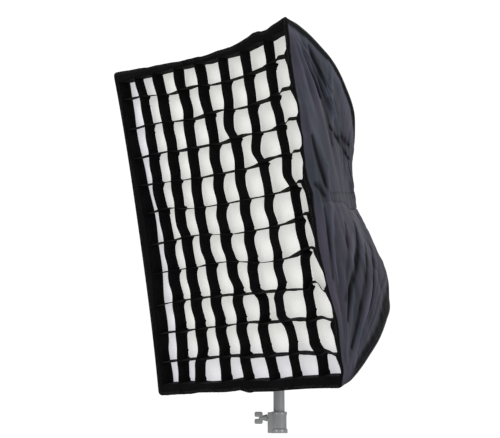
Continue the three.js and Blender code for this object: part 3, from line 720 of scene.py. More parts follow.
# screw heads painted bright as glints, with lighter worn edges
SCREW_HEAD_GLINT = hard("screw_heads_wear_and_painted_glint", (0.50, 0.50, 0.51), (0.62, 0.62, 0.62),
                  rough=(0.3, 0.45), metal=0.2, grain=300, grain_bump=0.2,
                  wear=0.4, wear_col=(0.7, 0.7, 0.7))
PLASTIC = hard("black_moulded_plastic", (0.012, 0.012, 0.013), (0.02, 0.02, 0.021),
               rough=(0.42, 0.6), grain=700, grain_bump=0.35,
               wear=0.35, wear_col=(0.09, 0.09, 0.09))
BLACK_METAL = hard("black_painted_metal", (0.012, 0.012, 0.013), (0.018, 0.018, 0.019),
                   rough=(0.32, 0.48), metal=0.2, grain=450, grain_bump=0.25,
                   wear=0.8, wear_col=(0.3, 0.3, 0.3))
RIB_COAT = hard("rib_black_coating", (0.015, 0.015, 0.016), (0.022, 0.022, 0.023),
                rough=(0.28, 0.4), metal=0.3, grain=500, grain_bump=0.12,
                wear=0.6, wear_col=(0.3, 0.3, 0.3))
STEEL = hard("bright_steel", (0.50, 0.51, 0.52), (0.62, 0.63, 0.64),
             rough=(0.2, 0.34), metal=1.0, grain=260, grain_bump=0.12, stretch=(1, 1, 12))
BRASS = hard("zip_nickel_brass", (0.40, 0.34, 0.20), (0.55, 0.46, 0.27),
             rough=(0.25, 0.4), metal=1.0, grain=500, grain_bump=0.2)
RED = hard("red_button_plastic", (0.30, 0.02, 0.02), (0.36, 0.03, 0.025),
           rough=(0.3, 0.42), grain=600, grain_bump=0.15)
WHITE = diffusion_cloth()


def attach(ob, node=None):
    """Bakes a piece's placement into its points, and hides the CAD node it stands in for."""
    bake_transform(ob)
    if node:
        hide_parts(node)


def attach_panel(ob, side, node=None):
    """The same for one half of a panel; every side is treated alike."""
    if side in LATERAL:
        attach(ob, node)
    else:
        attach(ob, node)


# ------------------------------------------------------------------ canopy panels
PANEL_ROWS, PANEL_COLS = ((210, 120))
CLOTH_T = 0.9
SLIT_HALF = 18.0                        # half width of the slit in the bottom panel
SLIT_START, SLIT_END = 30.0, 352.0      # depths of its ends
# Where the painted shade on the right panel's lower part begins: height, then distance back
# along the cloth.
painted_shade_start = curve([-445, -402, -377, -342, -302, -254, -200],
                  [28, 83, 157, 252, 330, 424, 560])


def panel_rows():
    return 1.0 + (ARC - 1.5) * np.linspace(0, 1, PANEL_ROWS)


def painted_panel_shade(side, half, s, v, d):
    """Painted shade of the right, left and top cloth: raised parts painted lighter, creases
    painted darker.
    """
    # painted shade from the wrinkles: raised cloth painted lighter, sunken cloth darker
    painted_shade = 0.55 + np.clip(d, -5, 5) * 0.068
    if side not in LATERAL:
        return painted_shade
    y = depth_at(s)
    z = section(side, y, v)[1]
    fold_painted_shade = creases(side, s, z)[1]
    if side == "right":
        # painted shade and highlight along the long folds, and a painted shadow on the lower
        # cloth where it turns away from the light
        painted_shade = (painted_shade + np.clip(1.5 * fold_painted_shade, -0.34, 0.4)
                - 0.62 * smooth(-5, 65, s - painted_shade_start(z)) * smooth(-190, -262, z))
        if half > 0:                             # a dark line beside the seam, standing for the black binding's own colour, and a painted highlight line beside it
            rim = (1 - np.abs(v)) * CZ * radius(y, half)
            painted_shade = (painted_shade - 0.75 * smooth(16, 11, rim)
                    + 0.20 * smooth(16, 20, rim) * smooth(42, 27, rim))
    else:
        painted_shade = painted_shade + np.clip(fold_painted_shade, -0.22, 0.25)
    cross_seam = z - 19 - 0.03 * (s - 135)       # a darker line along the seam across the middle of the cloth
    return painted_shade - 0.26 * smooth(3.4, 1.2, np.abs(cross_seam)) * smooth(135, 150, s)


def plain_panel(name, side, half):
    """One half of a panel, from the mid seam to a rib seam, as a closed sheet."""
    columns = np.linspace(0, 1, PANEL_COLS) ** 0.92 * half
    s, v = np.meshgrid(panel_rows(), columns, indexing="ij")
    d = wrinkles(side, s, v)
    part = sheet(panel_xyz(side, s, v, d=d), panel_xyz(side, s, v, inner=CLOTH_T, d=d),
                 fab_map(s, section(side, depth_at(s), v)[1]))
    painted_shade = np.clip(painted_panel_shade(side, half, s, v, d), 0.02, 1)
    return softbox_piece(name, part, SHELL, painted_shade=np.tile(painted_shade.ravel(), 2))


def slit_panel(name, half):
    """One half of the bottom panel, with the strip inside the slit left out."""
    rows = panel_rows()
    y = depth_at(rows)
    for end in (SLIT_START, SLIT_END):           # the nearest rows snap to the slit's ends
        rows[np.argmin(abs(y - end))] = arc_at(end)
    y = depth_at(rows)
    first_row, last_row = (int(np.argmin(abs(y - end))) for end in (SLIT_START, SLIT_END))

    # the second column of points follows the slit's edge
    reach = (CX * radius(y, -1) - 0.2)[:, None]
    edge = np.minimum(SLIT_HALF / reach, 0.35)
    t = np.linspace(0, 1, PANEL_COLS - 1)
    beyond = edge + (1 - edge) * t[None, :] ** 0.95
    v = np.concatenate([np.zeros((PANEL_ROWS, 1)), beyond], 1) * half
    s = np.repeat(rows[:, None], PANEL_COLS, 1)
    d = wrinkles("bottom", s, v) * smooth(16, 46, np.abs(v) * reach)
    outer = panel_xyz("bottom", s, v, d=d)
    inner = panel_xyz("bottom", s, v, inner=CLOTH_T, d=d)
    for grid in (outer, inner):
        grid[first_row:last_row + 1, 1, 0] = half * SLIT_HALF

    n = PANEL_ROWS * PANEL_COLS
    keep = np.ones((PANEL_ROWS - 1, PANEL_COLS - 1), bool)
    keep[first_row:last_row, 0] = False
    cells = grid_cells(PANEL_ROWS, PANEL_COLS)[keep]
    edges = dict.fromkeys((a, b) for c in cells for a, b in zip(c, np.roll(c, -1)))
    rim = [(b, a, a + n, b + n) for a, b in edges if (b, a) not in edges]
    faces = np.concatenate([cells, cells[:, ::-1] + n, np.array(rim)])
    points = np.concatenate([outer.reshape(-1, 3), inner.reshape(-1, 3)])
    fab = np.concatenate([fab_map(s, v * reach).reshape(-1, 3)] * 2)
    used = np.unique(faces)
    renumber = -np.ones(len(points), int)
    renumber[used] = np.arange(len(used))
    # painted shade from the wrinkles: raised cloth painted lighter, sunken cloth darker
    painted_shade = 0.5 + np.tile(d.ravel(), 2)[used] * 0.04
    return softbox_piece(name, (points[used], renumber[faces], fab[used]), SHELL, painted_shade=painted_shade)


def canopy_half(side, half):
    if side in LATERAL:
        name = f"canopy_{side}_{'upper' if half > 0 else 'lower'}"
    else:
        name = f"canopy_{side}_{'right' if half > 0 else 'left'}"
    ob = slit_panel(name, half) if side == "bottom" else plain_panel(name, side, half)
    attach_panel(ob, side, node=f"panel_{side}")


for side in SIDES:
    for half in (1, -1):
        canopy_half(side, half)


# ------------------------------------------------------------------ rib seams
def seam_piping(quad, sx, sz):
    y = depth_at(np.linspace(4, ARC - 4, 150))
    r = radius(y, sz) + 0.2
    near = smooth(60, 0, y)                      # it narrows into the front corner
    path = np.stack([sx * (CX * r - 1.6 * near), y, sz * (CZ * r - 1.6 * near)], -1)
    part = tube(path, (3.0 if sz > 0 else 2.2) - 0.9 * near, 12)
    ob = softbox_piece(f"seam_piping_{quad}", part, PIPING, sharp=60)
    attach(ob)


def seam_topstitch(quad, sx, sz):
    """A row of stitches either side of the seam."""
    from_seam, pitch = 8.5, 6.5
    stitches = []
    for side in side_names(sx, sz):
        half = sz if side in LATERAL else sx
        for start in np.arange(14, ARC - 12, pitch):
            s = np.array([start, start + 1.8, start + 3.6])
            v = half * (1 - from_seam / (across(side)[0] * radius(depth_at(s), sz)))
            if np.min(np.abs(v)) < 0.2:
                continue
            stitches.append(tube(panel_xyz(side, s, v, lift=0.25), 0.42, 5))
    ob = softbox_piece(f"seam_topstitch_{quad}", merge(stitches), THREAD, sharp=60)
    attach(ob)


for quad, signs in QUADRANTS.items():
    seam_piping(quad, *signs)
    seam_topstitch(quad, *signs)

# ------------------------------------------------------------------ front opening
# Heights where the level strips are sewn to the right-hand lip.
HOOKS = [361, 281, 204, 128, 51, -32, -116, -212, -294, -374]
right_lip = curve(
    [-450, -442, -404, -385, -347, -309, -290, -271, -251, -232, -193, -173, -154, -134, -95,
     -57, -18, 20, 60, 80, 99, 157, 234, 254, 313, 391, 450],
    [12, 6, 3.7, 4.5, 9.4, 14, 10, 5, 3, 3.5, 2, 2.2, 5.6, 7.5, 5.6,
     12, 12, 15, 9.4, 6, 3, 2.4, 3, 4.5, 9.4, 8.2, 12])


def right_opening(z):
    """The right-hand lip: each level strip pulls it in just below its own height."""
    z = np.asarray(z, float)
    return right_lip(z) + 7.5 * sum(lopsided(z, hook, below=20, above=5) for hook in HOOKS)


# Width of the lip round the opening: place along the edge, then the width.
OPENING = {
    "right": right_opening,
    "left": curve([-450, -414, -337, -299, -224, -112, 0, 75, 150, 224, 299, 374, 414, 450],
                  [18, 19, 15, 20, 20, 26, 29, 26, 18, 12, 9, 14, 16, 16]),
    "top": curve([-300, -260, -228, -196, -128, -54, 21, 94, 169, 206, 240, 270, 300],
                 [27, 26, 22, 21.5, 18.5, 16, 16.5, 18, 22, 26, 21, 24, 25]),
    "bottom": curve(
        [-300, -228, -162, -128, -91, -54, -16, 21, 58, 94, 131, 206, 270, 300],
        [27, 28, 24.5, 21.5, 23, 25, 27, 27, 27, 24, 26, 25, 27, 27]),
}
# Width of the hem cloth folded back onto each panel, in the same way.
WRAP = {
    "right": eased(
        [-450, -442, -404, -385, -347, -290, -251, -232, -193, -173, -154, -95, -18, 20, 60,
         99, 138, 177, 234, 254, 313, 450],
        [7, 6.3, 4.6, 5.6, 7, 7, 3.6, 4.4, 2.2, 2.2, 6.3, 6.3, 7, 10, 7,
         3.2, 2.2, 3.1, 3.8, 5.6, 7, 7]),
    "left": eased([-450, -300, -100, 60, 300, 450], [12, 16, 12, 15, 12, 12]),
    "top": eased([-300, -160, 0, 150, 300], [10, 14, 12, 15, 8]),
    "bottom": eased([-300, -120, 0, 140, 300], [14, 18, 15, 19, 14]),
}
HEM_OVERHANG = 1.1                      # the hem's outer edge lies this far outside the cloth
STITCH_ROWS = (4.0, 7.5)                # distance of the hem stitching from the outer edge


def side_opening(side, z):
    """Distance of the opening's right or left edge from the middle."""
    return HALF_W - OPENING[side](z) - SAG[side](z)


def end_opening(end, x):
    """Distance of the opening's top or bottom edge from the middle."""
    return HALF_H - OPENING[end](x) - SAG[end](x) * 0.92


def hem_edge(u, sx, sz, w):
    """x, z and lip width at a point of the hem in one quadrant.

    u runs 0 to 1 from the end edge's middle to the corner, and 1 to 2 on to the side edge's
    middle. w is 0 on the outer edge and 1 at the opening.
    """
    u = np.asarray(u, float)
    on_end = u <= 1
    t = np.where(on_end, u, 2 - u)
    side, end = side_names(sx, sz)
    # along the top or bottom edge: outer line, then opening
    x_out = sx * (HALF_W + HEM_OVERHANG) * t
    z_out = sz * (HALF_H + HEM_OVERHANG - SAG[end](x_out))
    x_in = sx * (HALF_W - OPENING[side](sz * 412.0)) * t
    z_in = sz * end_opening(end, x_in)
    # along the right or left edge
    z_side_out = sz * (HALF_H + HEM_OVERHANG) * t
    x_side_out = sx * (HALF_W + HEM_OVERHANG - SAG[side](z_side_out))
    z_side_in = sz * (HALF_H - OPENING[end](sx * 281.0)) * t
    x_side_in = sx * side_opening(side, z_side_in)

    width = np.where(on_end, np.abs(z_out - z_in), np.abs(x_side_out - x_side_in))
    x0, z0 = np.where(on_end, x_out, x_side_out), np.where(on_end, z_out, z_side_out)
    x1, z1 = np.where(on_end, x_in, x_side_in), np.where(on_end, z_in, z_side_in)
    return x0 + (x1 - x0) * w, z0 + (z1 - z0) * w, width


def front_hem(quad, sx, sz):
    rng = np.random.default_rng(101 + 7 * sx + 3 * sz)
    half_count = 110
    along = np.concatenate([np.linspace(0, 1, half_count), np.linspace(1, 2, half_count)[1:]])
    shares = np.array([0, 0.02, 0.05, 0.1, 0.16, 0.24, 0.34, 0.45, 0.56, 0.68, 0.8, 0.88,
                       0.94, 0.98, 1.0])
    u, w = np.meshgrid(along, shares, indexing="ij")
    x, z, width = hem_edge(u, sx, sz, w)
    inset = w * width
    lip = 1.3 * quarter_round(np.minimum(inset, width - inset) / 2.2)
    run = np.where(u <= 1, np.abs(x), HALF_W + (HALF_H - np.abs(z)))
    puckers = np.zeros_like(x)
    for _ in range(22):                          # short puckers across the hem
        place = rng.uniform(0, 750)
        height = rng.uniform(0.3, 1.3) * rng.choice([1, -0.6])
        spread = rng.uniform(3, 9)
        lean = rng.uniform(-0.5, 0.5)
        puckers += (height * np.exp(-((run - place - lean * inset) / spread) ** 2)
                    * smooth(0, 5, inset) * smooth(0, 5, width - inset))
    seam = -0.55 * np.exp(-((inset - 11.5) / 0.9) ** 2)
    swell = 0.5 * np.sin(math.pi * np.clip(inset / np.maximum(width, 1), 0, 1))
    front = -(0.2 + lip + swell + np.maximum(puckers, -0.6) + seam)
    part = sheet(np.stack([x, front, z], -1), np.stack([x, np.full_like(x, 0.7), z], -1),
                 fab_map(run, inset))
    attach(softbox_piece(f"front_hem_{quad}", part, WEB), node="front_hem")


def hem_stitching(quad, sx, sz):
    """Two rows of stitches on the face of the hem."""
    stitches = []
    for inset in STITCH_ROWS:
        for start in np.arange(6, 744, 6.0):
            run = np.array([start, start + 1.7, start + 3.4])
            u = np.where(run <= HALF_W, run / HALF_W, 1 + (run - HALF_W) / HALF_H)
            if u.min() < 1 < u.max() or u.max() > 1.995:
                continue
            width = hem_edge(u, sx, sz, 0)[2]
            if width.min() < inset + 1.4:        # the lip is too narrow here for this row
                continue
            x, z, _ = hem_edge(u, sx, sz, inset / width)
            stitches.append(tube(np.stack([x, np.full(3, -1.75), z], -1), 0.33, 5))
    ob = softbox_piece(f"hem_stitching_{quad}", merge(stitches), THREAD, sharp=60)
    attach(ob)


def hem_facing(side, half):
    """Hem cloth folded back onto the outside of a panel."""
    full = across(side)[1]
    across_v = np.linspace(0, 1, 150) ** 0.95 * half
    shares = np.array([0, 0.04, 0.1, 0.22, 0.36, 0.5, 0.64, 0.78, 0.9, 0.96, 1.0])
    s = shares[:, None] * WRAP[side](across_v * full)[None, :]
    v = np.repeat(across_v[None, :], len(shares), 0)
    d = wrinkles(side, np.maximum(s, 1.0), v)
    rounding = quarter_round(np.minimum(shares, 1 - shares) * 8)[:, None]
    rng = np.random.default_rng(SEEDS[side] + (5 if half > 0 else 9))
    puckers = np.zeros_like(s)
    for _ in range(30):
        height, place = rng.uniform(0.1, 0.55), half * rng.uniform(5, full - 5)
        lean, spread = rng.uniform(-0.4, 0.4), rng.uniform(2.5, 7)
        puckers += height * np.exp(-((v * full - place - lean * s) / spread) ** 2)
    outer = panel_xyz(side, s, v, lift=0.25 + 0.85 * rounding + puckers * rounding, d=d)
    inner = panel_xyz(side, s, v, lift=-0.3, d=d)
    outer[..., 1] -= np.maximum(0, 1 - s / 3) * 0.9
    part = sheet(outer, inner, fab_map(v * full, s))
    ob = softbox_piece(f"hem_facing_{side}_{'a' if half > 0 else 'b'}", part, WEB)
    attach_panel(ob, side)


for quad, signs in QUADRANTS.items():
    front_hem(quad, *signs)
    hem_stitching(quad, *signs)
for side in SIDES:
    for half in (1, -1):
        hem_facing(side, half)

# ------------------------------------------------------------------ egg-crate grid
COLS, ROWS = 8, 11
GRID_W, GRID_H = 283.0, 414.0           # half its size
GRID_FRONT, GRID_BACK = 1.3, 36.0       # depths of its edges
STRIP_T = 1.3
PITCH_X, PITCH_Z = 2 * GRID_W / COLS, 2 * GRID_H / ROWS
# Upright strips, left to right: x of the front edge at 23 even stations from the top down.
UPRIGHT_Z = 411 - 37.36 * np.arange(23)
UPRIGHT_X = {
    1: [-225, -219, -216, -214, -214, -213, -214, -213, -216, -213, -207, -205,
        -203, -206, -202, -205, -200, -204, -204, -208, -212, -216, -221],
    2: [-160, -156, -151, -150, -147, -143, -145, -144, -147, -146, -148, -148,
        -138, -138, -136, -138, -134, -137, -132, -135, -136, -153, -161],
    3: [-81, -83, -74, -68, -73, -73, -73, -73, -74, -78, -77, -77,
        -74, -75, -66, -67, -64, -67, -61, -65, -61, -66, -69],
    4: [-8, -5, -6, -4, 3, 5, 4, -1, 4, -2, 2, -6, -2, -3, 5, 5, 16, 7, 12, 6, 10, 4, 7],
    5: [75, 73, 73, 73, 67, 62, 76, 79, 76, 73, 78, 74, 79, 73, 77, 70, 70, 91, 88, 76, 79,
        86, 90],
    6: [147, 146, 147, 148, 146, 148, 146, 138, 154, 157, 158, 152,
        159, 155, 159, 154, 159, 141, 141, 162, 166, 161, 163],
    7: [224, 223, 219, 219, 218, 224, 224, 227, 227, 223, 238, 238,
        239, 238, 242, 237, 236, 232, 233, 227, 228, 243, 242],
}
# How far right the back edge lies of the front edge: top, middle, bottom.
UPRIGHT_SHIFT = {1: (0, 8, 10), 2: (8, 6, 8), 3: (7, 5, 8), 4: (8, 5, 6),
                 5: (4, 5, 6), 6: (5, 1, 3), 7: (5, 2, 8)}
# Level strips from the top: height of the front edge in the middle of each column.
COLUMN_X = [-250, -178, -108, -36, 38, 112, 188, 255]
LEVEL_Z = [
    [371, 362, 351, 355, 343, 341, 346, 361],
    [287, 285, 277, 271, 275, 265, 268, 281],
    [204, 204, 198, 196, 191, 198, 191, 206],
    [128, 123, 118, 115, 114, 112, 125, 128],
    [48, 53, 40, 36, 35, 35, 36, 50],
    [-38, -35, -32, -38, -46, -45, -42, -30],
    [-118, -116, -116, -112, -118, -129, -126, -108],
    [-206, -201, -201, -201, -205, -206, -207, -210],
    [-283, -284, -280, -280, -276, -283, -282, -288],
    [-362, -361, -361, -359, -365, -366, -364, -371],
]
# How far the back edge lies above the front edge, in the same places.
LEVEL_RISE = [
    [1, 1, 1, -1, 1, 1, -1, -2], [1, 1, -1, -2, 0, 0, -2, -2],
    [0, 0, -3, -3, -2, -2, 0, -2], [-2, 0, 0, -2, -2, -1, -2, -2],
    [1, -2, 0, 0, -1, -1, -1, -5], [-2, -2, -2, -2, -1, -2, -2, -6],
    [-1, -2, -2, -3, -2, -2, -2, -5], [3, 2, 3, 3, 4, 5, 2, 4],
    [2, 3, 1, 2, 1, 4, 4, 5], [2, 3, 3, 2, 5, 5, 3, 5],
]
# Last column: front edge height where the column starts, at its peak, and at the lip.
LAST_COLUMN_Z = [
    (357, 364, 363), (275, 285, 284), (200, 210, 208), (123, 130, 129), (54, 57, 55),
    (-24, -23, -24), (-107, -107, -111), (-195, -195, -221), (-285, -283, -291),
    (-366, -368, -375),
]
upright_lines = {i: curve(UPRIGHT_Z[::-1], xs[::-1]) for i, xs in UPRIGHT_X.items()}
upright_shifts = {i: curve([-420, 0, 420], d[::-1]) for i, d in UPRIGHT_SHIFT.items()}
level_lines = [curve(COLUMN_X, heights) for heights in LEVEL_Z]
level_rises = [curve(COLUMN_X, rises) for rises in LEVEL_RISE]
# Heights where each upright strip's back edge meets the level strips.
JOINTS = {i: [float(level_lines[k](np.mean(xs))) + LEVEL_RISE[k][i] for k in range(ROWS - 1)]
          for i, xs in UPRIGHT_X.items()}
# Each cell's share of the small bends in its strips.
grid_rng = np.random.default_rng(4)
UPRIGHT_BEND = grid_rng.uniform(0.7, 1.25, (COLS + 1, ROWS + 3))
LEVEL_BEND = grid_rng.uniform(0.6, 1.3, (ROWS + 1, COLS + 3))


def strip_x(i, z, depth):
    """x of upright strip i (0 the left wall, 8 the right) at height z and depth share."""
    z = np.asarray(z, float)
    if i == 0:
        return -side_opening("left", z) + (5 + 1.5 * np.sin(z / 23.0)) * depth
    if i == COLS:
        front = side_opening("right", z)
        cloth = CX * 530.5 - 2.6 - SAG["right"](z) * edge_fade(GRID_BACK, "right")
        back = np.minimum(cloth, front - 2 - 1.2 * np.sin(z / 19.0))
        return front + (back - front) * depth
    cells_down = np.clip((GRID_H - z) / PITCH_Z, 0, ROWS - 1e-6)
    cell = cells_down.astype(int)
    phase = cells_down - cell
    bend = UPRIGHT_BEND[i]
    swing = 2.6 * np.exp(-((1 - phase) / 0.05) ** 2) * bend[cell + 1]
    for k, joint in enumerate(JOINTS[i]):        # the back edge swings aside at each joint
        swing = swing + 7.5 * bend[k] * lopsided(z, joint, below=8.5, above=3.0)
    held_z = np.clip(z, -411, 411)
    return (upright_lines[i](held_z) + (upright_shifts[i](held_z) + swing) * depth
            - 1.2 * np.sin(2 * math.pi * phase) * bend[cell] * (1 - depth))


def last_column(k, x, depth):
    """Share of the last column's own height at x, and that height, where the lip pulls it."""
    z = float(LEVEL_Z[k][7])
    start = float(upright_lines[7](z))
    lip = float(side_opening("right", z))
    t = (x - start - 29.3 * (1 - depth)) / max(lip - start - 29.3, 14)
    first, peak, at_lip = LAST_COLUMN_Z[k]
    height = first + (peak - first) * smooth(0, 0.4, t) + (at_lip - peak) * smooth(0.4, 1, t)
    return smooth(-0.4, 0, t), height


def strip_z(j, x, depth):
    """Height of level strip j (0 the bottom wall, 11 the top) at x and depth share."""
    x = np.asarray(x, float)
    if j == ROWS:
        return end_opening("top", x) - 2.0 * depth
    if j == 0:
        return -end_opening("bottom", x) + 1.0 * depth
    k = ROWS - 1 - j
    cells_across = np.clip((x + GRID_W) / PITCH_X, 0, COLS - 1e-6)
    cell = cells_across.astype(int)
    arch = np.sin(math.pi * (cells_across - cell)) * LEVEL_BEND[j][cell] - 0.6
    right = smooth(4.4, 7.2, cells_across)
    last = smooth(6.9, 7.1, cells_across)
    share, height = last_column(k, x, depth)
    front_arch = (-1.4 * (1 - right) + 2.5 * right) * arch * (1 - last)
    front = (level_lines[k](x) + front_arch) * (1 - share) + height * share
    back_arch = (2.2 * (1 - right) + 0.6 * right) * arch
    return front + (level_rises[k](x) + back_arch) * depth


def grid_strip(x, z, depth, thick, fab_along, fab_shift):
    """A thin strip; thick is the direction of its thickness."""
    y = GRID_FRONT + (GRID_BACK - GRID_FRONT) * depth
    middle = np.stack([x, y, z], -1)
    offset = np.array(thick) * STRIP_T / 2
    return sheet(middle + offset, middle - offset, fab_map(fab_along, y, fab_shift))


def egg_crate(quad, sx, sz):
    parts = []
    shares = np.linspace(0, 1, 7)                # from the front edge to the back edge
    t, depth = np.meshgrid(np.linspace(0, 1, 240), shares, indexing="ij")
    for i in range(COLS // 2, COLS + 1) if sx > 0 else range(COLS // 2):
        end_x = strip_x(i, np.full(len(shares), sz * 411.0), shares)
        z = t * strip_z(ROWS if sz > 0 else 0, end_x, shares)
        parts.append(grid_strip(strip_x(i, z, depth), z, depth, (1, 0, 0), z, i * 0.31))
    t, depth = np.meshgrid(np.linspace(0, 1, 180), shares, indexing="ij")
    for j in range(ROWS // 2 + 1, ROWS + 1) if sz > 0 else range(ROWS // 2 + 1):
        end_z = float(strip_z(j, sx * GRID_W, 0.0))
        x = t * strip_x(COLS if sx > 0 else 0, np.full_like(depth, end_z), depth)
        parts.append(grid_strip(x, strip_z(j, x, depth), depth, (0, 0, 1), x, j * 0.27))
    ob = softbox_piece(f"egg_crate_{quad}", merge(parts), GRID_CLOTH, sharp=50)
    attach(ob, node="egg_crate_grid")


for quad, signs in QUADRANTS.items():
    egg_crate(quad, *signs)

# ------------------------------------------------------------------ front diffuser
DIFFUSER_Y = 37.5
DIFFUSER_T = 0.8
DIFFUSER_EDGE_Y = 38.0                  # depth at which its outline is taken
fold_rng = np.random.default_rng(77)
# Soft folds: middle x and z, direction, length, width, height.
FOLDS = [tuple(fold_rng.uniform(low, high) for low, high in (
    (-290, 290), (-430, 430), (0, math.pi), (60, 260), (5, 14), (0.25, 0.9)))
    for _ in range(46)]


def diffuser_y(x, z):
    d = np.zeros_like(x)
    for fold_x, fold_z, angle, length, width, height in FOLDS:
        cos, sin = math.cos(angle), math.sin(angle)
        along = (x - fold_x) * cos + (z - fold_z) * sin
        beside = -(x - fold_x) * sin + (z - fold_z) * cos
        d += height * np.exp(-(along / length) ** 2 - (beside / width) ** 2)
    return DIFFUSER_Y + d * 0.8


def diffuser(quad, sx, sz):
    nx, nz = ((110, 160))
    side, end = side_names(sx, sz)
    r = float(radius(DIFFUSER_EDGE_Y, sz))
    tx, tz = np.meshgrid(np.linspace(0, 1, nx), np.linspace(0, 1, nz), indexing="ij")
    flat_x, flat_z = sx * tx * (CX * r - 3.4), sz * tz * (CZ * r - 3.4)
    bow = edge_fade(DIFFUSER_EDGE_Y, "right") if side == "right" else 0.78
    x = flat_x - sx * tx ** 2 * (SAG[side](flat_z) * bow)
    z = flat_z - sz * tz ** 2 * SAG[end](flat_x) * 0.80
    y = diffuser_y(x, z)
    part = sheet(np.stack([x, y, z], -1), np.stack([x, y + DIFFUSER_T, z], -1), fab_map(x, z))
    ob = softbox_piece(f"diffuser_{quad}", part, WHITE)
    attach(ob, node="front_diffuser")


def loop_tape(side, half):
    """Strip on the inside of a panel, behind the diffuser; it stops short of the corner."""
    full = across(side)[1]
    s0, s1 = arc_at([42, 62])
    s, v = np.meshgrid(np.linspace(s0, s1, 7),
                       np.linspace(0, 1, 60) * half * (full - 50) / full, indexing="ij")
    d = wrinkles(side, s, v)
    part = sheet(panel_xyz(side, s, v, lift=-1.3, d=d), panel_xyz(side, s, v, lift=-3.0, d=d),
                 fab_map(v * full, s))
    ob = softbox_piece(f"loop_tape_{side}_{'a' if half > 0 else 'b'}", part, WEB)
    attach_panel(ob, side, node=f"loop_strip_{side}")


for quad, signs in QUADRANTS.items():
    diffuser(quad, *signs)
for side in SIDES:
    for half in (1, -1):
        loop_tape(side, half)


# ------------------------------------------------------------------ slit zip
def bottom_strip(y, x, lift):
    """Flat tape on the outside of the bottom panel, over depths y and places x."""
    s, x = np.meshgrid(arc_at(y), x, indexing="ij")
    v = x / (CX * radius(depth_at(s), -1))
    flat = np.zeros_like(s)
    return sheet(panel_xyz("bottom", s, v, lift=lift, d=flat),
                 panel_xyz("bottom", s, v, lift=0.05, d=flat), fab_map(s, x))


def zip_tape():
    """A tape down each side of the slit, and one across each end."""
    long_y = np.concatenate([[22, 25.5], np.linspace(29.5, 352.5, 60), [356, 361]])
    tape_x = np.array([17.0, 18.2, 20, 24, 28, 29.4, 30.0])
    tape_lift = np.array([0.9, 1.3, 1.5, 1.5, 1.5, 1.35, 0.95])[None, :]
    parts = [bottom_strip(long_y, sign * tape_x, tape_lift) for sign in (1, -1)]
    for y0, y1 in ((22, 29.6), (352.4, 361)):
        parts.append(bottom_strip(np.linspace(y0, y1, 6),
                                  np.linspace(-SLIT_HALF, SLIT_HALF, 12), 1.4))
    ob = softbox_piece("slit_zip_tape", merge(parts), WEB)
    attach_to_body(ob, "softbox")
    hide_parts("zip_tape")


def zip_teeth():
    teeth = []
    for sign in (1, -1):
        for y in np.arange(33, 350, 3.2):
            v = sign * np.array([18.4, 16.2]) / (CX * radius(y, -1))
            root, tip = panel_xyz("bottom", np.full(2, arc_at(y)), v, lift=0.9, d=np.zeros(2))
            teeth.append(tube(np.stack([root, (root + tip) / 2, tip]), 0.75, 6))
    ob = softbox_piece("slit_zip_teeth", merge(teeth), THREAD, sharp=60)
    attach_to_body(ob, "softbox")


zip_tape()
zip_teeth()


# ------------------------------------------------------------------ rear end of the canopy
def rear_part(name, profile, fillet, material, node):
    """A form turned about the shaft axis from (radius, depth) points."""
    ob = softbox_piece(name, lathe(filleted(profile, fillet), 72, "y"), material, sharp=35)
    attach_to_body(ob, "softbox")
    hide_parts(node)


rear_part("ferrule_cap",
          [(0, 601.2), (4.2, 600.6), (7.4, 597), (8, 592), (8, 586.9), (5.5, 586.9),
           (5.5, 592.6), (0, 592.6)],
          fillet=0.8, material=PLASTIC, node="rear_ferrule")
rear_part("crown_disc",
          [(5.5, 580.5), (24, 580.5), (24, 582), (20.5, 584.4), (12, 586.1), (5.5, 586.1)],
          fillet=0.9, material=PLASTIC, node="crown_cap")
rear_part("apex_reinforcement",
          [(5.7, 578.2), (34, 577.4), (34.2, 578.7), (33, 579.3), (5.7, 579.9)],
          fillet=0.4, material=WEB, node="apex_patch")

# ------------------------------------------------------------------ stand
SCREW_AZIMUTH = 219.14                  # direction of the thumbscrew about the pole, degrees
SCREW_Z = 40                            # height of the thumbscrew's axis
HEAD_AZIMUTH, HEAD_SPREAD = -51.1, 19   # middle of a pair of screw heads, and half its angle


def turned(part, degrees):
    """A part turned about the pole's axis."""
    points, faces, fab = part
    cos, sin = math.cos(math.radians(degrees)), math.sin(math.radians(degrees))
    x, y, z = points.T
    return np.stack([x * cos - y * sin, x * sin + y * cos, z], -1), faces, fab


def moved(part, offset):
    return part[0] + np.array(offset), part[1], part[2]


def rounded_box(low, high, r):
    """A box with all edges rounded, as six separate faces."""
    low, high = np.array(low, float), np.array(high, float)
    centre, half = (low + high) / 2, (high - low) / 2
    n = 5                                        # stations across each rounding
    lines = [np.concatenate([np.linspace(-1, -1 + r / h, n), np.linspace(1 - r / h, 1, n)])
             for h in half]
    points, faces = [], []
    for a in range(3):
        b, c = (a + 1) % 3, (a + 2) % 3
        for sign in (-1, 1):
            cells = grid_cells(2 * n, 2 * n).reshape(-1, 4) + len(points)
            faces += list(cells if sign > 0 else cells[:, ::-1])
            for i in range(2 * n):
                for j in range(2 * n):
                    p = np.zeros(3)
                    p[a], p[b], p[c] = sign, lines[b][i], lines[c][j]
                    p = p * half
                    core = np.clip(p, r - half, half - r)
                    out = p - core
                    length = np.linalg.norm(out)
                    points.append(centre + core + (out / length * r if length > 1e-9 else 0))
    points = np.array(points)
    return points, faces, points / 1000


def stand_piece(name, parts, material, body, node=None):
    points, faces, fab = merge(parts)
    ob = build(name, points / 1000, faces, fab, material, sharp=38)
    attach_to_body(ob, body)
    if node:
        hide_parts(node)


def pole():
    profile = [(0, 8), (14, 8), (15, 9), (15, 499), (14, 500), (0, 500)]
    stand_piece("pole_tube", [lathe(filleted(profile, 0.8), 96)], POLE_PAINT, "pole",
                "stand_pole")


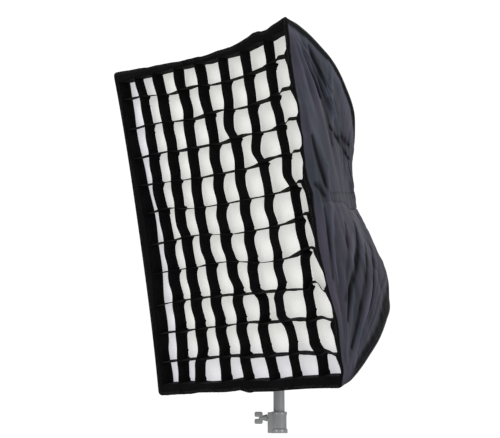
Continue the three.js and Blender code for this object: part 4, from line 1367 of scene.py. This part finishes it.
def collar():
    """A flanged sleeve with a block that takes the thumbscrew."""
    profile = [(0, 0), (21.8, 0), (22.4, 0.8), (22.4, 9.6), (21.4, 10.8), (19.8, 12.0),
               (19.8, 46.4), (20.6, 47.2), (21.2, 48.0), (21.2, 55.2), (20.6, 56),
               (15.6, 56), (15.6, 8), (0, 8)]
    block = rounded_box((6, -12.5, 0.4), (30.6, 12.5, 54.6), 1.6)
    stand_piece("collar_casting", [lathe(filleted(profile, 0.7), 112),
                                   turned(block, SCREW_AZIMUTH)],
                CAST, "stand", "stand_collar")


def collar_heads():
    """Two screw heads on each flange, painted bright to stand for their highlights."""
    profile = [(0, 0), (2.5, 0), (2.5, 0.9), (1.6, 1.5), (0, 1.6)]
    head = lathe(filleted(profile, 0.4), 20, "x")
    heads = []
    for z, out in ((6.4, 22.0), (51.0, 20.8)):
        for sign in (-1, 1):
            heads.append(turned(moved(head, (out, 0, z)), HEAD_AZIMUTH + HEAD_SPREAD * sign))
    stand_piece("collar_screw_heads", heads, SCREW_HEAD_GLINT, "stand")


def smooth_outline(points, count):
    """Count points on a smooth closed line through the given ones."""
    points = np.array(points, float)
    place = np.linspace(0, len(points), count, endpoint=False)
    first = place.astype(int)
    t = (place - first)[:, None]
    a, b, c, d = (points[(first + o) % len(points)] for o in (-1, 0, 1, 2))
    return 0.5 * (2 * b + (-a + c) * t + (2 * a - 5 * b + 4 * c - d) * t ** 2
                  + (-a + 3 * b - 3 * c + d) * t ** 3)


def wing(sign):
    """One wing of the thumbscrew, above (1) or below (-1) its axis."""
    count, half_thick, r = 60, 5.6, 2.2
    # (distance from the pole's axis, distance from the screw's axis)
    outline = smooth_outline(
        [(44.5, 0.4), (53, 0.6), (55.5, 2.4), (61, 2.5), (64.6, 3.6), (65.6, 8), (65.4, 12.6),
         (63.0, 15.7), (57, 16.1), (47, 15.7), (44.2, 13.4), (43.6, 7)], count)
    centre = outline.mean(0)
    inward = outline - centre
    inward /= np.linalg.norm(inward, axis=1)[:, None]
    rings = []
    for a in np.linspace(-math.pi / 2, math.pi / 2, 9):
        y = (half_thick - r) * np.sign(a) + r * math.sin(a)
        ring = outline - inward * r * (1 - math.cos(a))
        rings.append(np.stack([ring[:, 0], np.full(count, y), ring[:, 1]], -1))
    points = np.concatenate(
        rings + [[[centre[0], y, centre[1]] for y in (-half_thick, half_thick)]])
    last, tip = (len(rings) - 1) * count, len(rings) * count
    turns = [(k, (k + 1) % count) for k in range(count)]
    faces = [(a + k, a + l, a + count + l, a + count + k)
             for a in range(0, last, count) for k, l in turns]
    faces += [(tip, l, k) for k, l in turns]
    faces += [(tip + 1, last + k, last + l) for k, l in turns]
    points[:, 2] = SCREW_Z + sign * points[:, 2]
    if sign < 0:
        faces = [f[::-1] for f in faces]
    return points, faces, points / 1000


def wing_screw():
    profile = [(0, 16.4), (2.9, 16.4), (2.9, 31), (8.8, 31.2), (9.2, 33.8), (7.8, 38.5),
               (6.4, 43), (6.2, 50), (5.2, 54), (0, 54)]
    neck = moved(lathe(filleted(profile, 0.7), 48, "x"), (0, 0, SCREW_Z))
    hub = rounded_box((44, -5.2, SCREW_Z - 4.8), (52, 5.2, SCREW_Z + 4.8), 2.2)
    # the wings' cloth coordinates are taken before they are turned into place
    parts = [turned(part, SCREW_AZIMUTH) for part in (neck, wing(-1), wing(1), hub)]
    # the two wings keep theirs after the turn
    for k in (1, 2):
        parts[k] = wing_fab(parts[k])
    stand_piece("wing_screw", parts, CAST, "collar_thumbscrew",
                "collar_thumbscrew")


def wing_fab(part):
    """The part with cloth coordinates from where it stood before the turn."""
    return part[0], part[1], turned(part, -SCREW_AZIMUTH)[0] / 1000


pole()
collar()
collar_heads()
wing_screw()

# ------------------------------------------------------------------ finishes of the CAD hardware
# By whole name, then by how the name starts. Everything else is plastic.
FINISHES = {
    "spigot": STEEL, "bracket_base": BLACK_METAL, "bracket_head": BLACK_METAL,
    "tilt_bolt": STEEL, "cold_shoe": STEEL, "shaft": STEEL, "runner_button": RED,
    "zip_slider_front": BRASS, "zip_slider_rear": BRASS,
}
PREFIX_FINISHES = (
    ("rib_tip", PLASTIC), ("corner_pocket", POCKET_WEB), ("crown_pin", STEEL),
    ("runner_pin", STEEL), ("rib_", RIB_COAT), ("stretcher_", RIB_COAT),
)


def hardware_finish(name):
    if name in FINISHES:
        return FINISHES[name]
    return next((m for start, m in PREFIX_FINISHES if name.startswith(start)), PLASTIC)


def finish_hardware(name, ob):
    """Gives a CAD piece its material and softened edges."""
    mesh = ob.data
    mesh.materials.clear()
    mesh.materials.append(hardware_finish(name))
    mesh.polygons.foreach_set("material_index", np.zeros(len(mesh.polygons), np.int32))
    weld = ob.modifiers.new("weld", "WELD")
    weld.merge_threshold = 2e-6
    bevel = ob.modifiers.new("edge", "BEVEL")
    bevel.width = 0.00035
    bevel.segments = 2
    bevel.limit_method = "ANGLE"
    bevel.angle_limit = math.radians(38)


for name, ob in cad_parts.items():
    if not ob.hide_render:
        finish_hardware(name, ob)


# ------------------------------------------------------------------ stage, light, camera
def pale_floor():
    sh = Shader("pale_floor")
    grey = (0.80, 0.80, 0.80)
    patches = sh.noise(sh.coords(source="object"), scale=3.0, detail=3)
    colour = sh.ramp(patches, [(0.0, grey), (1.0, tuple(c * 0.985 for c in grey))])
    sh.surface({"Base Color": colour, "Roughness": 0.9, "Emission Color": FULL_WHITE,
                "Emission Strength": 0.12})
    return sh.material


def studio_floor():
    bpy.ops.mesh.primitive_plane_add(size=24, location=(0, 0, -0.95))
    floor = bpy.context.object
    floor.name = "studio_floor"
    floor.data.materials.append(pale_floor())


def studio_world(light, backdrop):
    """White all round: one strength lights the product, the other is what the camera sees."""
    world = bpy.data.worlds.new("studio")
    bpy.context.scene.world = world
    world.use_nodes = True
    nodes, links = world.node_tree.nodes, world.node_tree.links
    nodes.clear()
    output = nodes.new("ShaderNodeOutputWorld")
    path = nodes.new("ShaderNodeLightPath")
    mix = nodes.new("ShaderNodeMixShader")
    links.new(path.outputs["Is Camera Ray"], mix.inputs[0])
    for k, strength in ((1, light), (2, backdrop)):
        background = nodes.new("ShaderNodeBackground")
        background.inputs[0].default_value = (1, 1, 1, 1)
        background.inputs[1].default_value = strength
        links.new(background.outputs[0], mix.inputs[k])
    links.new(mix.outputs[0], output.inputs[0])


def area_light(name, at, target, size, power, colour=(1, 1, 1)):
    light = bpy.data.lights.new(name, "AREA")
    light.shape = "RECTANGLE"
    light.size, light.size_y = size
    light.energy = power
    light.color = colour
    ob = bpy.data.objects.new(name, light)
    bpy.context.scene.collection.objects.link(ob)
    ob.location = at
    ob.rotation_mode = "QUATERNION"
    ob.rotation_quaternion = (Vector(target) - Vector(at)).to_track_quat("-Z", "Y")


def camera(at, direction, lens):
    data = bpy.data.cameras.new("camera")
    ob = bpy.data.objects.new("camera", data)
    bpy.context.scene.collection.objects.link(ob)
    bpy.context.scene.camera = ob
    data.sensor_width = 36
    data.lens = lens
    data.clip_start, data.clip_end = 0.05, 60
    ob.location = at
    ob.rotation_mode = "QUATERNION"
    ob.rotation_quaternion = Vector(direction).to_track_quat("-Z", "Y")


studio_floor()
studio_world(light=0.55, backdrop=1.05)
area_light("key_left", at=(-1.6, -2.8, 1.9), target=(0, -0.1, 0.5), size=(1.6, 1.6), power=42)
area_light("fill_right", at=(3.0, -0.6, 1.0), target=(0.1, 0.1, 0.5), size=(1.8, 2.4),
           power=38, colour=(0.93, 0.96, 1.0))
area_light("top_soft", at=(0.6, 1.0, 3.0), target=(0.1, 0.1, 0.6), size=(2.2, 2.2), power=34)
camera(at=(1.652, -2.153, -0.023), direction=(-0.6160, 0.7570, 0.2180), lens=71.9)
bpy.context.scene.view_settings.view_transform = "Standard"

bpy.context.view_layer.update()
